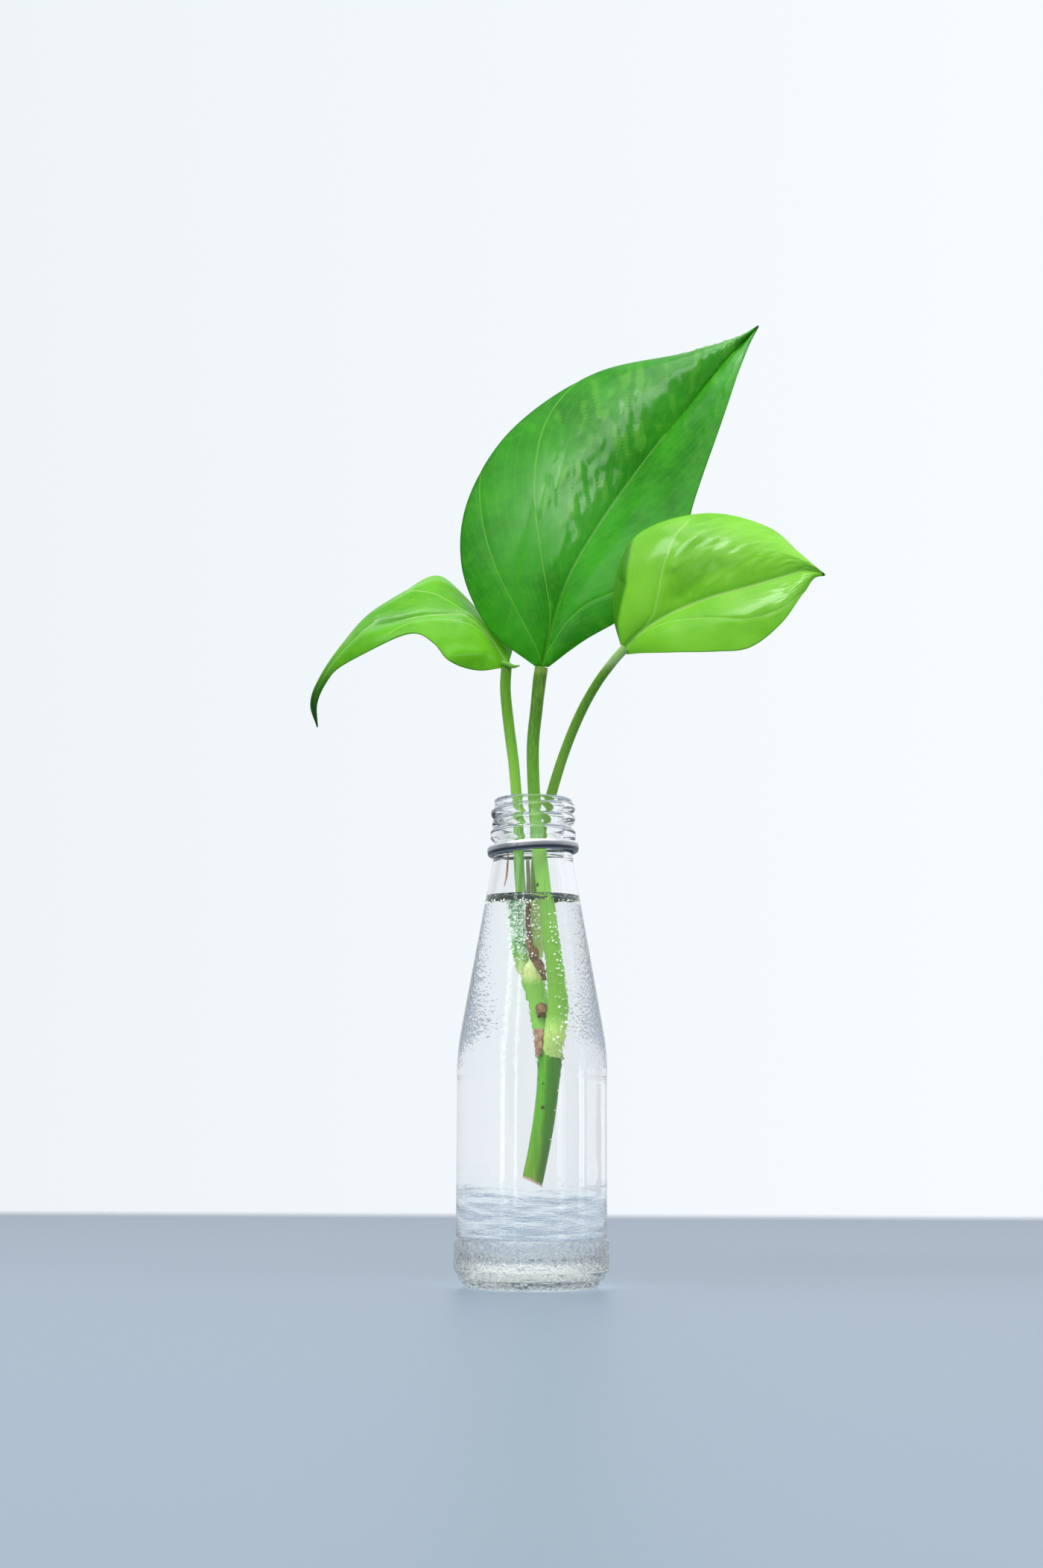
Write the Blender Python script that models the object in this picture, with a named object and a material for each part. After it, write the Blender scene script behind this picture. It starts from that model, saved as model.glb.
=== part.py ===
"""A pothos cutting with three leaves, standing in a small clear glass bottle of water.

Metres, +Z up. The origin is the middle of the object's footprint box, on the plane that the bottle stands on.
Sizes below are in millimetres about the bottle's own axis, which an empty places in the scene.
"""

import math

import bmesh
import bpy
from mathutils import Vector

MM = 0.001

# The bottle's axis, seen from the middle of the footprint box
AXIS_X = -7.7
AXIS_Y = 4.2

# What touches keeps this gap
GAP = 0.3

# Bottle
SEGMENTS = 40
CONTACT_INNER_R = 18.7
CONTACT_OUTER_R = 20.4
PUSH_UP = 3.1
BAND_R = 24.4
BAND_BOTTOM_Z = 5.0
BAND_TOP_Z = 14.8
PANEL_R = 23.8
PANEL_TOP_Z = 65.0
SHOULDER_R = 23.95
SHOULDER_Z = 68.5
CONE_FOOT_R = 22.9
CONE_FOOT_Z = 78.9
NECK_R = 12.5
NECK_Z = 136.7
BEAD_R = 13.8
BEAD_BOTTOM_Z = 140.1
BEAD_TOP_Z = 144.3
FINISH_R = 12.45
RIM_R = 12.6
RIM_Z = 154.4
WALL = 2.4
BORE_R = 10.2
FLOOR_Z = 8.2

# Helical thread on the neck
THREAD_R = 13.7
THREAD_PITCH = 3.67
THREAD_HALF_WIDTH = 1.3
THREAD_START_Z = 145.6
THREAD_START_TURN = 0.42
THREAD_TURNS = 1.75
THREAD_ROW = 0.6
THREAD_FADE_TURNS = 0.125
THREAD_CREST_POWER = 0.7

# Tamper ring, hanging tilted under the bead
RING_INNER_R = 12.95
RING_OUTER_R = 14.8
RING_HEIGHT = 3.3
RING_CORNER = 0.8
RING_Z = 138.0
RING_TILT_DEG = 3.3

# Water
WATER_TOP_Z = 122.5

# Stalks: points (x, y, z, radius) from the lowest up
STALK_ROUNDNESS = 3
STALK_STEPS = 3
STEM = [
    (-0.6, 0.4, 28.0, 2.5),
    (1.6, 0.3, 42.0, 2.55),
    (3.1, 0.1, 54.0, 2.6),
    (4.0, 0.4, 66.0, 2.75),
    (4.0, 1.0, 72.5, 3.15),
    (2.5, 2.1, 79.0, 2.5),
    (1.4, 2.8, 87.0, 2.4),
    (0.3, 3.0, 94.0, 2.7),
    (-0.2, 3.0, 98.5, 2.9),
    (-0.7, 3.5, 102.0, 2.0),
]
CUT_POINT = (0.4, 0.4, 32.2)
CUT_NORMAL = (0.53, 0.0, 0.85)
PETIOLE_TALL = [
    (4.6, -0.2, 71.5, 2.4),
    (5.6, -2.3, 78.0, 2.7),
    (6.4, -3.4, 87.0, 2.6),
    (5.9, -5.2, 98.0, 2.4),
    (4.7, -6.8, 110.0, 2.3),
    (3.4, -7.6, 123.0, 2.25),
    (1.8, -7.4, 137.0, 2.15),
    (0.3, -5.0, 154.0, 2.0),
    (-0.2, -2.9, 171.0, 2.0),
    (0.9, -0.9, 184.0, 2.05),
    (1.8, 0.5, 193.0, 2.2),
]
PETIOLE_LEFT = [
    (-1.6, 2.4, 97.0, 1.9),
    (-3.1, 2.0, 103.5, 1.85),
    (-3.5, 2.7, 112.0, 1.75),
    (-3.9, 4.1, 123.0, 1.75),
    (-4.9, 5.4, 138.0, 1.8),
    (-5.2, 6.0, 152.0, 1.8),
    (-6.4, 6.2, 167.0, 1.8),
    (-8.2, 7.0, 181.0, 1.8),
    (-9.3, 7.7, 192.0, 1.8),
]
PETIOLE_RIGHT = [
    (0.0, 4.2, 100.0, 1.8),
    (1.1, 5.1, 107.0, 1.75),
    (1.3, 5.6, 116.0, 1.7),
    (0.9, 5.5, 127.0, 1.7),
    (1.6, 5.0, 138.0, 1.75),
    (4.6, 4.7, 152.0, 1.75),
    (9.5, 2.3, 168.5, 1.65),
    (14.5, -2.6, 180.8, 1.6),
    (19.8, -8.2, 190.2, 1.5),
    (25.2, -12.3, 197.2, 1.5),
]
ROOT_STUB = [
    (2.0, 1.5, 86.2, 1.5),
    (2.2, -0.8, 85.0, 1.5),
    (2.5, -2.6, 83.4, 1.3),
]
PETIOLE_TOP_GAP = 0.7
CUTTER_GROWTH = 1.1 * GAP

# Dry sheath: points (x, y, z, half width) from the lowest up
SHEATH_THICKNESS = 0.7
SHEATH_CURL = 0.35
SHEATH_UPPER = [
    (2.9, -0.9, 94.5, 0.5),
    (2.1, -1.0, 97.8, 0.85),
    (1.0, -1.0, 101.0, 1.25),
    (-0.3, -0.7, 104.8, 1.05),
    (-0.9, -0.1, 109.0, 0.75),
    (-1.1, 0.5, 115.0, 0.7),
    (-1.3, 1.2, 123.5, 0.7),
    (-1.7, 1.9, 135.0, 0.6),
]
SHEATH_LOWER = [
    (1.5, -2.6, 71.0, 0.5),
    (1.6, -2.3, 75.5, 1.0),
    (1.6, -1.6, 79.0, 1.2),
]

# Blades: midrib, then the edge on the viewer's left and right of it, as points from the stalk to the tip
BLADE_THICKNESS = 0.7
RIB_THICKNESS = 1.8
RIB_TAPER = 0.7
BLADE_ROWS = 24
BLADE_COLUMNS = 10
COLUMN_POWER = 1.6
BULGE_POWER = 0.6
RIPPLES = 3
TALL_BLADE = {
    "mid": [
        (2.6, 1.0, 198.8), (6.2, 3.5, 213.5), (12.2, 7.0, 232.0), (23.8, 12.0, 253.0),
        (38.8, 17.0, 275.5), (53.2, 21.0, 295.0), (66.0, 24.5, 312.0), (73.8, 27.3, 321.3),
        (78.3, 28.0, 326.8),
    ],
    "left": [
        (0.4, 1.0, 198.8), (-15.3, 8.0, 213.5), (-24.3, 16.0, 236.5), (-22.3, 24.0, 263.0),
        (-7.1, 29.0, 289.5), (21.5, 31.0, 310.5), (54.0, 29.5, 317.3), (70.5, 28.5, 322.3),
        (78.3, 28.0, 326.8),
    ],
    "right": [
        (4.8, 1.0, 198.6), (16.7, -2.0, 207.0), (31.2, -5.0, 215.5), (46.5, -7.0, 230.0),
        (52.5, -4.0, 253.0), (62.2, 5.0, 282.2), (70.5, 16.0, 307.5), (74.9, 25.0, 319.5),
        (78.3, 28.0, 326.8),
    ],
    "face": (0.2, -0.96, 0.2),
    "bulge": (5.0, 2.5),
    "ripple": 0.5,
}
RIGHT_BLADE = {
    "mid": [
        (29.0, -14.0, 201.3), (34.6, -17.0, 206.5), (44.2, -21.0, 211.7), (55.0, -25.0, 215.4),
        (66.5, -29.0, 217.8), (76.0, -33.0, 219.8), (83.5, -36.7, 221.3), (87.6, -38.7, 220.6),
        (90.2, -40.0, 219.2),
    ],
    "left": [
        (28.0, -14.0, 202.5), (24.1, -10.0, 213.6), (26.4, -8.0, 232.3), (37.4, -12.0, 242.3),
        (57.1, -18.0, 245.1), (74.4, -24.0, 239.3), (83.3, -31.0, 228.8), (87.4, -37.5, 222.2),
        (90.2, -40.0, 219.2),
    ],
    "right": [
        (30.0, -14.0, 199.6), (35.8, -20.0, 198.7), (44.9, -26.0, 197.7), (56.7, -31.0, 196.6),
        (67.0, -35.0, 197.4), (77.0, -38.0, 204.6), (83.3, -39.0, 213.2), (86.6, -39.5, 218.2),
        (90.2, -40.0, 219.2),
    ],
    "face": (-0.3, -0.9, 0.3),
    "bulge": (4.0, 1.5),
    "ripple": 0.4,
}
LEFT_BLADE = {
    "mid": [
        (-9.0, 8.0, 201.1), (-15.3, 10.0, 211.1), (-22.3, 12.0, 217.7), (-34.0, 12.0, 218.1),
        (-46.0, 13.0, 216.0), (-57.1, 14.0, 213.0), (-65.5, 16.0, 204.5), (-71.0, 17.5, 196.2),
        (-73.8, 19.0, 189.3), (-72.4, 20.0, 181.6),
    ],
    "left": [
        (-10.0, 8.0, 199.8), (-18.8, 4.0, 197.9), (-27.5, 0.0, 199.9), (-32.9, 0.0, 206.4),
        (-40.2, 2.0, 209.6), (-53.3, 5.0, 205.2), (-64.7, 10.0, 200.2), (-69.5, 15.0, 195.2),
        (-72.5, 18.0, 188.9), (-72.4, 20.0, 181.6),
    ],
    "right": [
        (-8.0, 8.0, 202.0), (-8.1, 16.0, 210.2), (-19.1, 26.0, 223.2), (-32.0, 32.0, 236.7),
        (-44.0, 32.0, 231.9), (-55.0, 30.0, 223.6), (-64.0, 26.0, 211.0), (-71.3, 22.0, 199.2),
        (-74.8, 20.0, 190.0), (-72.4, 20.0, 181.6),
    ],
    "face": (-0.1, -0.7, 0.7),
    "bulge": (2.0, 2.5),
    "ripple": 0.4,
}


def clear_scene():
    for obj in list(bpy.data.objects):
        bpy.data.objects.remove(obj, do_unlink=True)


def finish_of(name, colour, roughness, metallic=0.0, clear=0.0, ior=1.45):
    """A Principled material; clear is how much of the light passes through."""
    material = bpy.data.materials.new(name)
    material.use_nodes = True
    shader = material.node_tree.nodes["Principled BSDF"]
    shader.inputs["Base Color"].default_value = (*colour, 1.0)
    shader.inputs["Roughness"].default_value = roughness
    shader.inputs["Metallic"].default_value = metallic
    shader.inputs["Transmission Weight"].default_value = clear
    shader.inputs["IOR"].default_value = ior
    material.diffuse_color = (*colour, 1.0 - 0.7 * clear)
    return material


def place(name, mesh, material, axis):
    """A finished mesh becomes an object that stands on the bottle's axis."""
    mesh.shade_smooth()
    mesh.set_sharp_from_angle(angle=math.radians(35))
    mesh.materials.clear()
    mesh.materials.append(material)
    obj = bpy.data.objects.new(name, mesh)
    obj.parent = axis
    bpy.context.scene.collection.objects.link(obj)
    return obj


def turned(name, profile):
    """The mesh of a profile of (radius, height) points turned round the axis."""
    shape = bmesh.new()
    points = [shape.verts.new((r * MM, 0.0, z * MM)) for r, z in profile]
    edges = [shape.edges.new(pair) for pair in zip(points, points[1:])]
    if profile[0][0] > 0.0:
        edges.append(shape.edges.new((points[-1], points[0])))
    bmesh.ops.spin(
        shape, geom=points + edges, cent=(0, 0, 0), axis=(0, 0, 1), dvec=(0, 0, 0),
        angle=2 * math.pi, steps=SEGMENTS, use_merge=True, use_duplicate=False,
    )
    bmesh.ops.remove_doubles(shape, verts=shape.verts, dist=0.001 * MM)
    bmesh.ops.recalc_face_normals(shape, faces=shape.faces)
    mesh = bpy.data.meshes.new(name)
    shape.to_mesh(mesh)
    shape.free()
    return mesh


def cone_outer_r(z):
    """Outer radius of the bottle's cone at a height."""
    share = (z - CONE_FOOT_Z) / (NECK_Z - CONE_FOOT_Z)
    return CONE_FOOT_R + share * (NECK_R - CONE_FOOT_R)


def inner_profile():
    """The bottle's inside from the mouth down to the middle of the floor."""
    body_r = PANEL_R - WALL
    return [
        (BORE_R, RIM_Z - 1.1),
        (BORE_R, NECK_Z - 0.6),
        (cone_outer_r(WATER_TOP_Z) - WALL, WATER_TOP_Z),
        (cone_outer_r(CONE_FOOT_Z) - WALL, CONE_FOOT_Z),
        (body_r - 0.4, SHOULDER_Z + 4.5),
        (body_r, SHOULDER_Z),
        (body_r, FLOOR_Z + 6.0),
        (body_r - 0.7, FLOOR_Z + 2.7),
        (body_r - 2.4, FLOOR_Z + 0.6),
        (body_r - 5.4, FLOOR_Z - 0.4),
        (body_r - 13.0, FLOOR_Z - 0.2),
        (0.0, FLOOR_Z),
    ]


def outer_profile():
    """The bottle's outside from the middle of the push-up to the rim."""
    underside = [
        (0.0, PUSH_UP),
        (6.5, PUSH_UP - 0.2),
        (12.5, PUSH_UP - 1.0),
        (17.4, 0.9),
        (CONTACT_INNER_R, 0.0),
        (CONTACT_OUTER_R, 0.0),
    ]
    heel = [
        (CONTACT_OUTER_R + 1.1, 0.8),
        (BAND_R - 1.6, 2.5),
        (BAND_R - 0.7, BAND_BOTTOM_Z - 0.5),
        (BAND_R - 0.1, BAND_BOTTOM_Z),
    ]
    body = [
        (BAND_R, 9.0),
        (BAND_R - 0.05, BAND_TOP_Z - 0.4),
        (PANEL_R, BAND_TOP_Z + 0.2),
        (PANEL_R, PANEL_TOP_Z),
        (SHOULDER_R - 0.1, PANEL_TOP_Z + 1.0),
        (SHOULDER_R, SHOULDER_Z),
        (SHOULDER_R - 0.3, SHOULDER_Z + 4.5),
        (CONE_FOOT_R, CONE_FOOT_Z),
        (NECK_R, NECK_Z),
    ]
    bead = [
        (NECK_R, BEAD_BOTTOM_Z),
        (BEAD_R - 0.4, BEAD_BOTTOM_Z + 0.7),
        (BEAD_R, BEAD_BOTTOM_Z + 1.4),
        (BEAD_R, BEAD_TOP_Z - 0.6),
        (BEAD_R - 0.4, BEAD_TOP_Z),
    ]
    rows = round((RIM_Z - 1.9 - BEAD_TOP_Z) / THREAD_ROW)
    finish = [(FINISH_R, BEAD_TOP_Z + 0.35 + THREAD_ROW * i) for i in range(rows)]
    rim = [
        (RIM_R, RIM_Z - 1.3),
        (RIM_R, RIM_Z - 0.6),
        (RIM_R - 0.4, RIM_Z - 0.1),
        (RIM_R - 1.1, RIM_Z),
        (BORE_R + 0.5, RIM_Z - 0.2),
    ]
    return underside + heel + body + bead + finish + rim


def thread_rise(x, y, z):
    """How far the thread lifts the neck's surface at a place, in millimetres."""
    turn = math.atan2(y, x) / (2 * math.pi) - THREAD_START_TURN
    best = 0.0
    for whole in range(-1, math.ceil(THREAD_TURNS) + 2):
        along = turn + whole
        if not 0.0 <= along <= THREAD_TURNS:
            continue
        off = abs(z - THREAD_START_Z - THREAD_PITCH * along)
        if off < THREAD_HALF_WIDTH:
            ends = min(1.0, along / THREAD_FADE_TURNS, (THREAD_TURNS - along) / THREAD_FADE_TURNS)
            crest = 0.5 + 0.5 * math.cos(math.pi * off / THREAD_HALF_WIDTH)
            best = max(best, ends * crest ** THREAD_CREST_POWER)
    return best * (THREAD_R - FINISH_R)


def bottle_mesh():
    mesh = turned("bottle", outer_profile() + inner_profile())
    for vertex in mesh.vertices:
        x, y, z = vertex.co / MM
        radius = math.hypot(x, y)
        if radius > BORE_R + 1.0 and BEAD_TOP_Z < z < RIM_Z - 1.5:
            grown = 1.0 + thread_rise(x, y, z) / radius
            vertex.co = (x * grown * MM, y * grown * MM, z * MM)
    return mesh


def ring_mesh():
    """The loose metal band: a rounded section turned round, then tilted."""
    half = RING_HEIGHT / 2
    corners = [
        (RING_OUTER_R, -half, 270), (RING_OUTER_R, half, 0),
        (RING_INNER_R, half, 90), (RING_INNER_R, -half, 180),
    ]
    profile = []
    for r, z, first in corners:
        centre_r = r - math.copysign(RING_CORNER, r - (RING_INNER_R + RING_OUTER_R) / 2)
        centre_z = z - math.copysign(RING_CORNER, z)
        for step in range(3):
            angle = math.radians(first + 45 * step)
            profile.append((
                centre_r + RING_CORNER * math.cos(angle),
                centre_z + RING_CORNER * math.sin(angle),
            ))
    mesh = turned("tamper_ring", profile)
    tilt = math.radians(RING_TILT_DEG)
    for vertex in mesh.vertices:
        x, y, z = vertex.co
        vertex.co = (
            x * math.cos(tilt) - z * math.sin(tilt),
            y,
            x * math.sin(tilt) + z * math.cos(tilt) + RING_Z * MM,
        )
    return mesh


def water_mesh():
    """The bottle's inside below the water line, a gap smaller all round."""
    wet = [(r, z) for r, z in inner_profile() if z <= WATER_TOP_Z]
    profile = [(0.0, WATER_TOP_Z)]
    for r, z in wet:
        lift = GAP if z < FLOOR_Z + 1.0 else 0.0
        profile.append((max(0.0, r - GAP), z + lift))
    return turned("water", profile)


def stalk_mesh(name, route):
    """A round stalk with its own thickness at each point of its route."""
    curve = bpy.data.curves.new(name, "CURVE")
    curve.dimensions = "3D"
    curve.bevel_depth = MM
    curve.bevel_resolution = STALK_ROUNDNESS
    curve.use_fill_caps = True
    curve.resolution_u = STALK_STEPS
    spline = curve.splines.new("BEZIER")
    spline.bezier_points.add(len(route) - 1)
    for point, (x, y, z, radius) in zip(spline.bezier_points, route):
        point.co = (x * MM, y * MM, z * MM)
        point.handle_left_type = "AUTO"
        point.handle_right_type = "AUTO"
        point.radius = radius
    guide = bpy.data.objects.new(name, curve)
    bpy.context.scene.collection.objects.link(guide)
    graph = bpy.context.evaluated_depsgraph_get()
    shape = bmesh.new()
    shape.from_mesh(guide.evaluated_get(graph).to_mesh())
    bmesh.ops.remove_doubles(shape, verts=shape.verts, dist=0.01 * MM)
    bmesh.ops.recalc_face_normals(shape, faces=shape.faces)
    bpy.data.objects.remove(guide)
    mesh = bpy.data.meshes.new(name)
    shape.to_mesh(mesh)
    shape.free()
    return mesh


def cut_slanted(mesh):
    """Cuts the stem's foot on a slant, as a knife leaves it."""
    shape = bmesh.new()
    shape.from_mesh(mesh)
    bmesh.ops.bisect_plane(
        shape, geom=shape.verts[:] + shape.edges[:] + shape.faces[:], dist=0.001 * MM,
        plane_co=Vector(CUT_POINT) * MM, plane_no=CUT_NORMAL, clear_inner=True,
    )
    rim = [edge for edge in shape.edges if edge.is_boundary]
    bmesh.ops.holes_fill(shape, edges=rim, sides=0)
    bmesh.ops.recalc_face_normals(shape, faces=shape.faces)
    shape.to_mesh(mesh)
    shape.free()
    return mesh


def curve_at(points, share):
    """A smooth curve through points, read at a share of the way along."""
    place_on = share * (len(points) - 1)
    index = min(int(place_on), len(points) - 2)
    t = place_on - index
    here, after = Vector(points[index]), Vector(points[index + 1])
    before = Vector(points[index - 1]) if index > 0 else 2 * here - after
    beyond = Vector(points[index + 2]) if index + 2 < len(points) else 2 * after - here
    start_slope = (after - before) / 2
    end_slope = (beyond - here) / 2
    return (
        here * (2 * t**3 - 3 * t**2 + 1)
        + start_slope * (t**3 - 2 * t**2 + t)
        + after * (3 * t**2 - 2 * t**3)
        + end_slope * (t**3 - t**2)
    )


def blade_point(blade, u, v):
    """The blade's middle surface: u runs from stalk to tip, v from the left edge, -1, to the right, 1."""
    mid = curve_at(blade["mid"], u)
    edge = curve_at(blade["left" if v < 0 else "right"], u)
    out = abs(v)
    swell = math.sin(math.pi * u)
    bulge = blade["bulge"][0 if v < 0 else 1] * 4 * out * (1 - out) * swell**BULGE_POWER
    ripple = blade["ripple"] * math.sin(2 * math.pi * RIPPLES * u + v) * out**2 * swell
    return mid + (edge - mid) * out + Vector(blade["face"]) * (bulge + ripple)


def blade_object(name, blade, material, axis):
    """A thin blade with a thicker midrib, split into triangles before it gets its thickness."""
    shape = bmesh.new()
    bmesh.ops.create_grid(shape, x_segments=BLADE_ROWS, y_segments=BLADE_COLUMNS, size=0.5)
    weights = {}
    for vertex in shape.verts:
        u = min(1.0, max(0.0, vertex.co.x + 0.5))
        across = 2 * vertex.co.y
        v = math.copysign(abs(across) ** COLUMN_POWER, across)
        vertex.co = blade_point(blade, u, v) * MM
        weights[vertex.index] = 1.0 - RIB_TAPER * u if abs(v) < 0.02 else 0.0
    mesh = bpy.data.meshes.new(name)
    shape.to_mesh(mesh)
    shape.free()
    obj = place(name, mesh, material, axis)
    rib = obj.vertex_groups.new(name="rib")
    for index, weight in weights.items():
        rib.add([index], weight, "REPLACE")
    weld = obj.modifiers.new("Close tip", "WELD")
    weld.merge_threshold = 0.01 * MM
    split = obj.modifiers.new("Split", "TRIANGULATE")
    split.min_vertices = 4
    wall = obj.modifiers.new("Thickness", "SOLIDIFY")
    wall.thickness = RIB_THICKNESS * MM
    wall.offset = 0.0
    wall.vertex_group = rib.name
    wall.thickness_vertex_group = BLADE_THICKNESS / RIB_THICKNESS
    return obj


def strip_object(name, route, material, axis):
    """A narrow dry strip along a route, as wide as its points say."""
    shape = bmesh.new()
    bmesh.ops.create_grid(shape, x_segments=12, y_segments=2, size=0.5)
    for vertex in shape.verts:
        x, y, z, half = curve_at(route, min(1.0, vertex.co.x + 0.5))
        side = 2 * vertex.co.y
        vertex.co = Vector((x + side * half, y + SHEATH_CURL * side**2, z)) * MM
    bmesh.ops.triangulate(shape, faces=shape.faces)
    mesh = bpy.data.meshes.new(name)
    shape.to_mesh(mesh)
    shape.free()
    obj = place(name, mesh, material, axis)
    wall = obj.modifiers.new("Thickness", "SOLIDIFY")
    wall.thickness = SHEATH_THICKNESS * MM
    wall.offset = 0.0
    return obj


def hidden_cutter(name, mesh, axis):
    cutter = bpy.data.objects.new(name, mesh)
    cutter.parent = axis
    cutter.hide_render = True
    cutter.display_type = "WIRE"
    bpy.context.scene.collection.objects.link(cutter)
    return cutter


def stalk_cutter(name, route, axis):
    """A stalk's route again, a gap thicker and a gap longer at both ends."""
    ends = [Vector(route[i][:3]) for i in (0, 1, -2, -1)]
    foot = ends[0] + (ends[0] - ends[1]).normalized() * GAP
    top = ends[3] + (ends[3] - ends[2]).normalized() * GAP
    longer = [(*foot, route[0][3]), *route[1:-1], (*top, route[-1][3])]
    thicker = [(x, y, z, radius + CUTTER_GROWTH) for x, y, z, radius in longer]
    return hidden_cutter("cut_" + name, stalk_mesh("cut_" + name, thicker), axis)


def strip_cutter(obj, axis):
    """A hidden copy of a strip, a gap larger all over, that cuts its hole in the water."""
    bpy.context.view_layer.update()
    graph = bpy.context.evaluated_depsgraph_get()
    shape = bmesh.new()
    shape.from_mesh(obj.evaluated_get(graph).to_mesh())
    shape.normal_update()
    moves = [(vertex, vertex.normal * min(vertex.calc_shell_factor(), 2.0)) for vertex in shape.verts]
    for vertex, way in moves:
        vertex.co += way * GAP * MM
    mesh = bpy.data.meshes.new("cut_" + obj.name)
    shape.to_mesh(mesh)
    shape.free()
    return hidden_cutter("cut_" + obj.name, mesh, axis)


def cut_by(obj, cutters):
    for cutter in cutters:
        cut = obj.modifiers.new("Clear of " + cutter.name, "BOOLEAN")
        cut.operation = "DIFFERENCE"
        cut.object = cutter
        cut.solver = "EXACT"


def petiole_route(route, blade):
    """The stalk's own points, then its top end just short of the blade's base."""
    base = Vector(blade["mid"][0])
    way = (base - Vector(route[-1][:3])).normalized()
    top = base - way * PETIOLE_TOP_GAP
    return route + [(*top, route[-1][3])]


def main():
    clear_scene()
    axis = bpy.data.objects.new("bottle_axis", None)
    axis.location = (AXIS_X * MM, AXIS_Y * MM, 0.0)
    bpy.context.scene.collection.objects.link(axis)

    glass = finish_of("clear_glass", (0.93, 0.98, 0.95), 0.03, clear=1.0, ior=1.5)
    metal = finish_of("grey_metal", (0.42, 0.43, 0.46), 0.4, metallic=1.0)
    wet = finish_of("water", (0.97, 0.99, 1.0), 0.0, clear=1.0, ior=1.33)
    stem_green = finish_of("stem_green", (0.09, 0.26, 0.02), 0.4)
    stalk_green = finish_of("stalk_green", (0.22, 0.42, 0.04), 0.35)
    deep_leaf = finish_of("deep_leaf", (0.05, 0.30, 0.02), 0.3)
    light_leaf = finish_of("light_leaf", (0.20, 0.50, 0.03), 0.28)
    dry_brown = finish_of("dry_brown", (0.24, 0.12, 0.05), 0.8)

    place("bottle", bottle_mesh(), glass, axis)
    place("tamper_ring", ring_mesh(), metal, axis)
    water = place("water", water_mesh(), wet, axis)

    place("stem", cut_slanted(stalk_mesh("stem", STEM)), stem_green, axis)
    stem_cut = stalk_cutter("stem", STEM, axis)

    right_route = petiole_route(PETIOLE_RIGHT, RIGHT_BLADE)
    petiole_right = place("petiole_right", stalk_mesh("petiole_right", right_route), stalk_green, axis)
    right_cut = stalk_cutter("petiole_right", right_route, axis)
    cut_by(petiole_right, [stem_cut])

    tall_route = petiole_route(PETIOLE_TALL, TALL_BLADE)
    petiole_tall = place("petiole_tall", stalk_mesh("petiole_tall", tall_route), stalk_green, axis)
    tall_cut = stalk_cutter("petiole_tall", tall_route, axis)
    cut_by(petiole_tall, [stem_cut])

    left_route = petiole_route(PETIOLE_LEFT, LEFT_BLADE)
    petiole_left = place("petiole_left", stalk_mesh("petiole_left", left_route), stalk_green, axis)
    left_cut = stalk_cutter("petiole_left", left_route, axis)
    cut_by(petiole_left, [stem_cut, right_cut])

    root_stub = place("root_stub", stalk_mesh("root_stub", ROOT_STUB), dry_brown, axis)
    stub_cut = stalk_cutter("root_stub", ROOT_STUB, axis)
    cut_by(root_stub, [stem_cut, tall_cut])
    sheath_upper = strip_object("dry_sheath_upper", SHEATH_UPPER, dry_brown, axis)
    upper_cut = strip_cutter(sheath_upper, axis)
    cut_by(sheath_upper, [stem_cut, left_cut, right_cut, tall_cut])
    sheath_lower = strip_object("dry_sheath_lower", SHEATH_LOWER, dry_brown, axis)
    lower_cut = strip_cutter(sheath_lower, axis)
    cut_by(sheath_lower, [stem_cut, tall_cut])
    cut_by(water, [stem_cut, right_cut, tall_cut, left_cut, stub_cut, upper_cut, lower_cut])

    cut_by(blade_object("leaf_tall", TALL_BLADE, deep_leaf, axis), [tall_cut])
    cut_by(blade_object("leaf_right", RIGHT_BLADE, light_leaf, axis), [right_cut])
    cut_by(blade_object("leaf_left", LEFT_BLADE, light_leaf, axis), [left_cut])


main()
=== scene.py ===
"""Looks for a pothos cutting that stands in a small clear glass bottle of water.

Sizes are in millimetres about the bottle's own axis, and MM turns them into metres when a mesh is finished.
"""

import math
import random

import bmesh
import bpy
from mathutils import Matrix, Vector, noise


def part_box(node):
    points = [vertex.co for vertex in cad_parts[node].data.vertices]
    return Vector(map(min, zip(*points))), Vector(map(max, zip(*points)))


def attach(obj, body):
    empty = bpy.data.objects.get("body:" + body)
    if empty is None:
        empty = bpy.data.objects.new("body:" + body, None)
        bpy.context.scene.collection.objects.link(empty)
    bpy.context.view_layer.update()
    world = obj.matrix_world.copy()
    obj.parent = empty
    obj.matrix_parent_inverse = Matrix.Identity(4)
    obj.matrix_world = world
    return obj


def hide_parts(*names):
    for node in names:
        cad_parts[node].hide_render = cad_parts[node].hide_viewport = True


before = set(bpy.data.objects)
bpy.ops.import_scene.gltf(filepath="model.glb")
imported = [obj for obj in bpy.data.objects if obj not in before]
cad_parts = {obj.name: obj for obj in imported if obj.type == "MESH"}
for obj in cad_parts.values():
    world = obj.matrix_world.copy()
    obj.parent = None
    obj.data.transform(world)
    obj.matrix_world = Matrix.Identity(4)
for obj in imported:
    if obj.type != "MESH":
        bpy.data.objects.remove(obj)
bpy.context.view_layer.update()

MM = 0.001
bottle_low, bottle_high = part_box("bottle")
AXIS = Vector(((bottle_low.x + bottle_high.x) / 2, (bottle_low.y + bottle_high.y) / 2, 0.0))

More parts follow.
